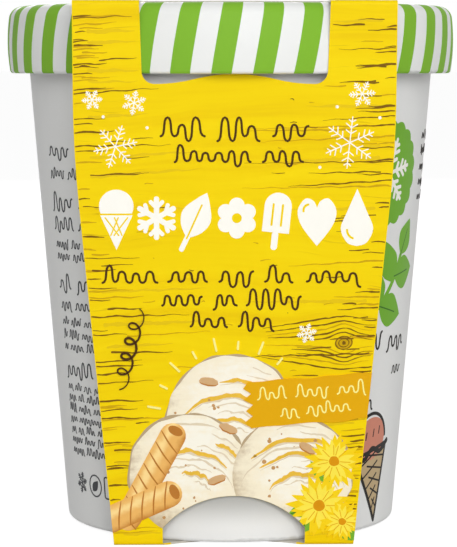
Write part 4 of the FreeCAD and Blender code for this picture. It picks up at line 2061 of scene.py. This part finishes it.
def rounded_square(centre: Point, half: float, corner: float) -> Path:
    """Closed outline of a square with round corners.

    Args:
        centre: Its middle.
        half: Half its side.
        corner: Radius of its corners.

    Returns:
        The outline, turning left.
    """
    outline: Path = []
    inner = half - corner
    for number, (u, v) in enumerate(((inner, inner), (-inner, inner), (-inner, -inner), (inner, -inner))):
        outline += arc((centre[0] + u, centre[1] + v), corner, number * 90, number * 90 + 90, 5)
    return outline


@dataclass
class Tub:
    """Paper tub: its wall and the glued seam at its rear."""

    places: PackPlaces
    seam_heading: float = -158.0
    seam_low: float = 2.0
    seam_high: float = 97.0

    def build(self, node: bpy.types.Object) -> None:
        """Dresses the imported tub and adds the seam.

        Args:
            node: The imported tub.
        """
        dress(node, CoatedPaper(self.places))
        press = Press(Wall(self.places, self.seam_heading), "tub", Slot.TUB)
        seam = press.ink("seam", Ink("paper_edge", (222, 221, 216), 0.15), 4)
        seam.stroke([(0, self.seam_low), (0, self.seam_high)], 0.3)
        press.finish()


# ---------------------------------------------------------------- studio


@dataclass
class Studio:
    """Pale floor, soft frontal light and the camera."""

    places: PackPlaces
    distance: float = 523.96
    eye_height: float = 98.67
    pitch: float = 4.985
    heading: float = -1.13
    aim: float = 0.0457
    lens: float = 156.94
    world_strength: float = 0.27
    floor_half: float = 40.0  # metres
    floor_drop: float = 0.05
    floor_tones: tuple[float, float] = (0.7, 0.3)  # as it lights the pack, and as it is seen under its glow
    floor_glow: float = 0.89
    lamps: tuple[tuple[str, tuple[float, float, float], float, float], ...] = (
        ("key_light", (0.12, -1.28, 0.54), 0.8, 12.6),
        ("side_light", (1.0, -0.55, 0.5), 0.6, 0.5),
        ("back_light", (-0.1, 1.3, 0.62), 0.8, 5.0),
    )  # name, place and diameter in metres, power in watts

    def build(self) -> None:
        """Makes the floor, the world, the lights and the camera."""
        self._floor()
        self._world()
        self._lights()
        self._camera()
        bpy.context.scene.view_settings.view_transform = "Standard"

    def _camera(self) -> None:
        """Makes the camera and gives it to the scene."""
        data = bpy.data.cameras.new("camera")
        data.lens = self.lens
        data.clip_start = 0.01
        data.dof.use_dof = False
        camera = new_object("camera", data)
        turn = math.radians(self.heading)
        camera.location = around(self.distance, turn, self.eye_height + self.places.foot)
        camera.rotation_euler = (math.radians(90 - self.pitch), 0.0, turn + math.radians(self.aim))
        bpy.context.scene.camera = camera

    def _lights(self) -> None:
        """Adds round soft lights that look at the pack."""
        target = Vector((0.0, 0.0, self.places.height * MM / 2))
        for name, place, size, power in self.lamps:
            data = bpy.data.lights.new(name, "AREA")
            data.shape = "DISK"
            data.size = size
            data.energy = power
            lamp = new_object(name, data)
            lamp.location = place
            lamp.rotation_euler = (target - lamp.location).to_track_quat("-Z", "Y").to_euler()

    @staticmethod
    def _end(sheet: Sheet, lighting: Socket, seen: Socket, output: str) -> None:
        """Ends a tree with one shader that lights the pack and another that is seen.

        Args:
            sheet: The nodes of a material or a world.
            lighting: What bounced light meets.
            seen: What the camera, gloss and glass show.
            output: Type of the output node.
        """
        path = sheet.node("ShaderNodeLightPath").outputs
        mask = sheet.math("MAXIMUM", path["Is Camera Ray"], path["Is Glossy Ray"])
        mask = sheet.math("MAXIMUM", mask, path["Is Transmission Ray"])
        mix = sheet.run("ShaderNodeMixShader", {0: mask, 1: lighting, 2: seen})
        sheet.run(output, {"Surface": mix}, None)

    def _world(self) -> None:
        """Soft even light all round, seen as white."""
        world = bpy.data.worlds.new("studio")
        bpy.context.scene.world = world
        sheet = fresh_sheet(world)
        soft, seen = (
            sheet.run("ShaderNodeBackground", {"Color": (1.0, 1.0, 1.0, 1.0), "Strength": strength})
            for strength in (self.world_strength, 1.0)
        )
        self._end(sheet, soft, seen, "ShaderNodeOutputWorld")

    def _floor(self) -> None:
        """Wide pale floor that looks white and keeps the pack's shadow."""
        half = self.floor_half
        mesh = bpy.data.meshes.new("floor")
        corners = [(u, v, 0) for u, v in rectangle(-half, half, -half, half)]
        mesh.from_pydata(corners, [], [(0, 1, 2, 3)])
        floor = new_object("floor", mesh)
        floor.location.z = -self.floor_drop * MM
        material = bpy.data.materials.new("pale_floor")
        sheet = fresh_sheet(material)
        plain, shown = (sheet.run("ShaderNodeBsdfDiffuse", {"Color": (tone, tone, tone, 1.0)})
                        for tone in self.floor_tones)
        glow = sheet.run("ShaderNodeEmission", {"Strength": self.floor_glow})
        both = sheet.run("ShaderNodeAddShader", {0: shown, 1: glow})
        self._end(sheet, plain, both, "ShaderNodeOutputMaterial")
        mesh.materials.append(material)


def main() -> None:
    """Dresses the pack, prints on it and sets up the studio."""
    logging.basicConfig(level=logging.INFO, format="%(name)s: %(message)s")
    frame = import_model()
    places = PackPlaces.measure(frame)
    LOG.info("places: %s", places)
    nodes = frame["nodes"]
    Studio(places).build()
    Tub(places).build(nodes["tub"])
    TubPrint(places).build()
    Lid(places).build(nodes["lid"])
    band = Band(places)
    band.build(nodes["band"])
    FrontPrint(band).build()
    BackPrint(band).build()


if __name__ == "__main__":
    main()
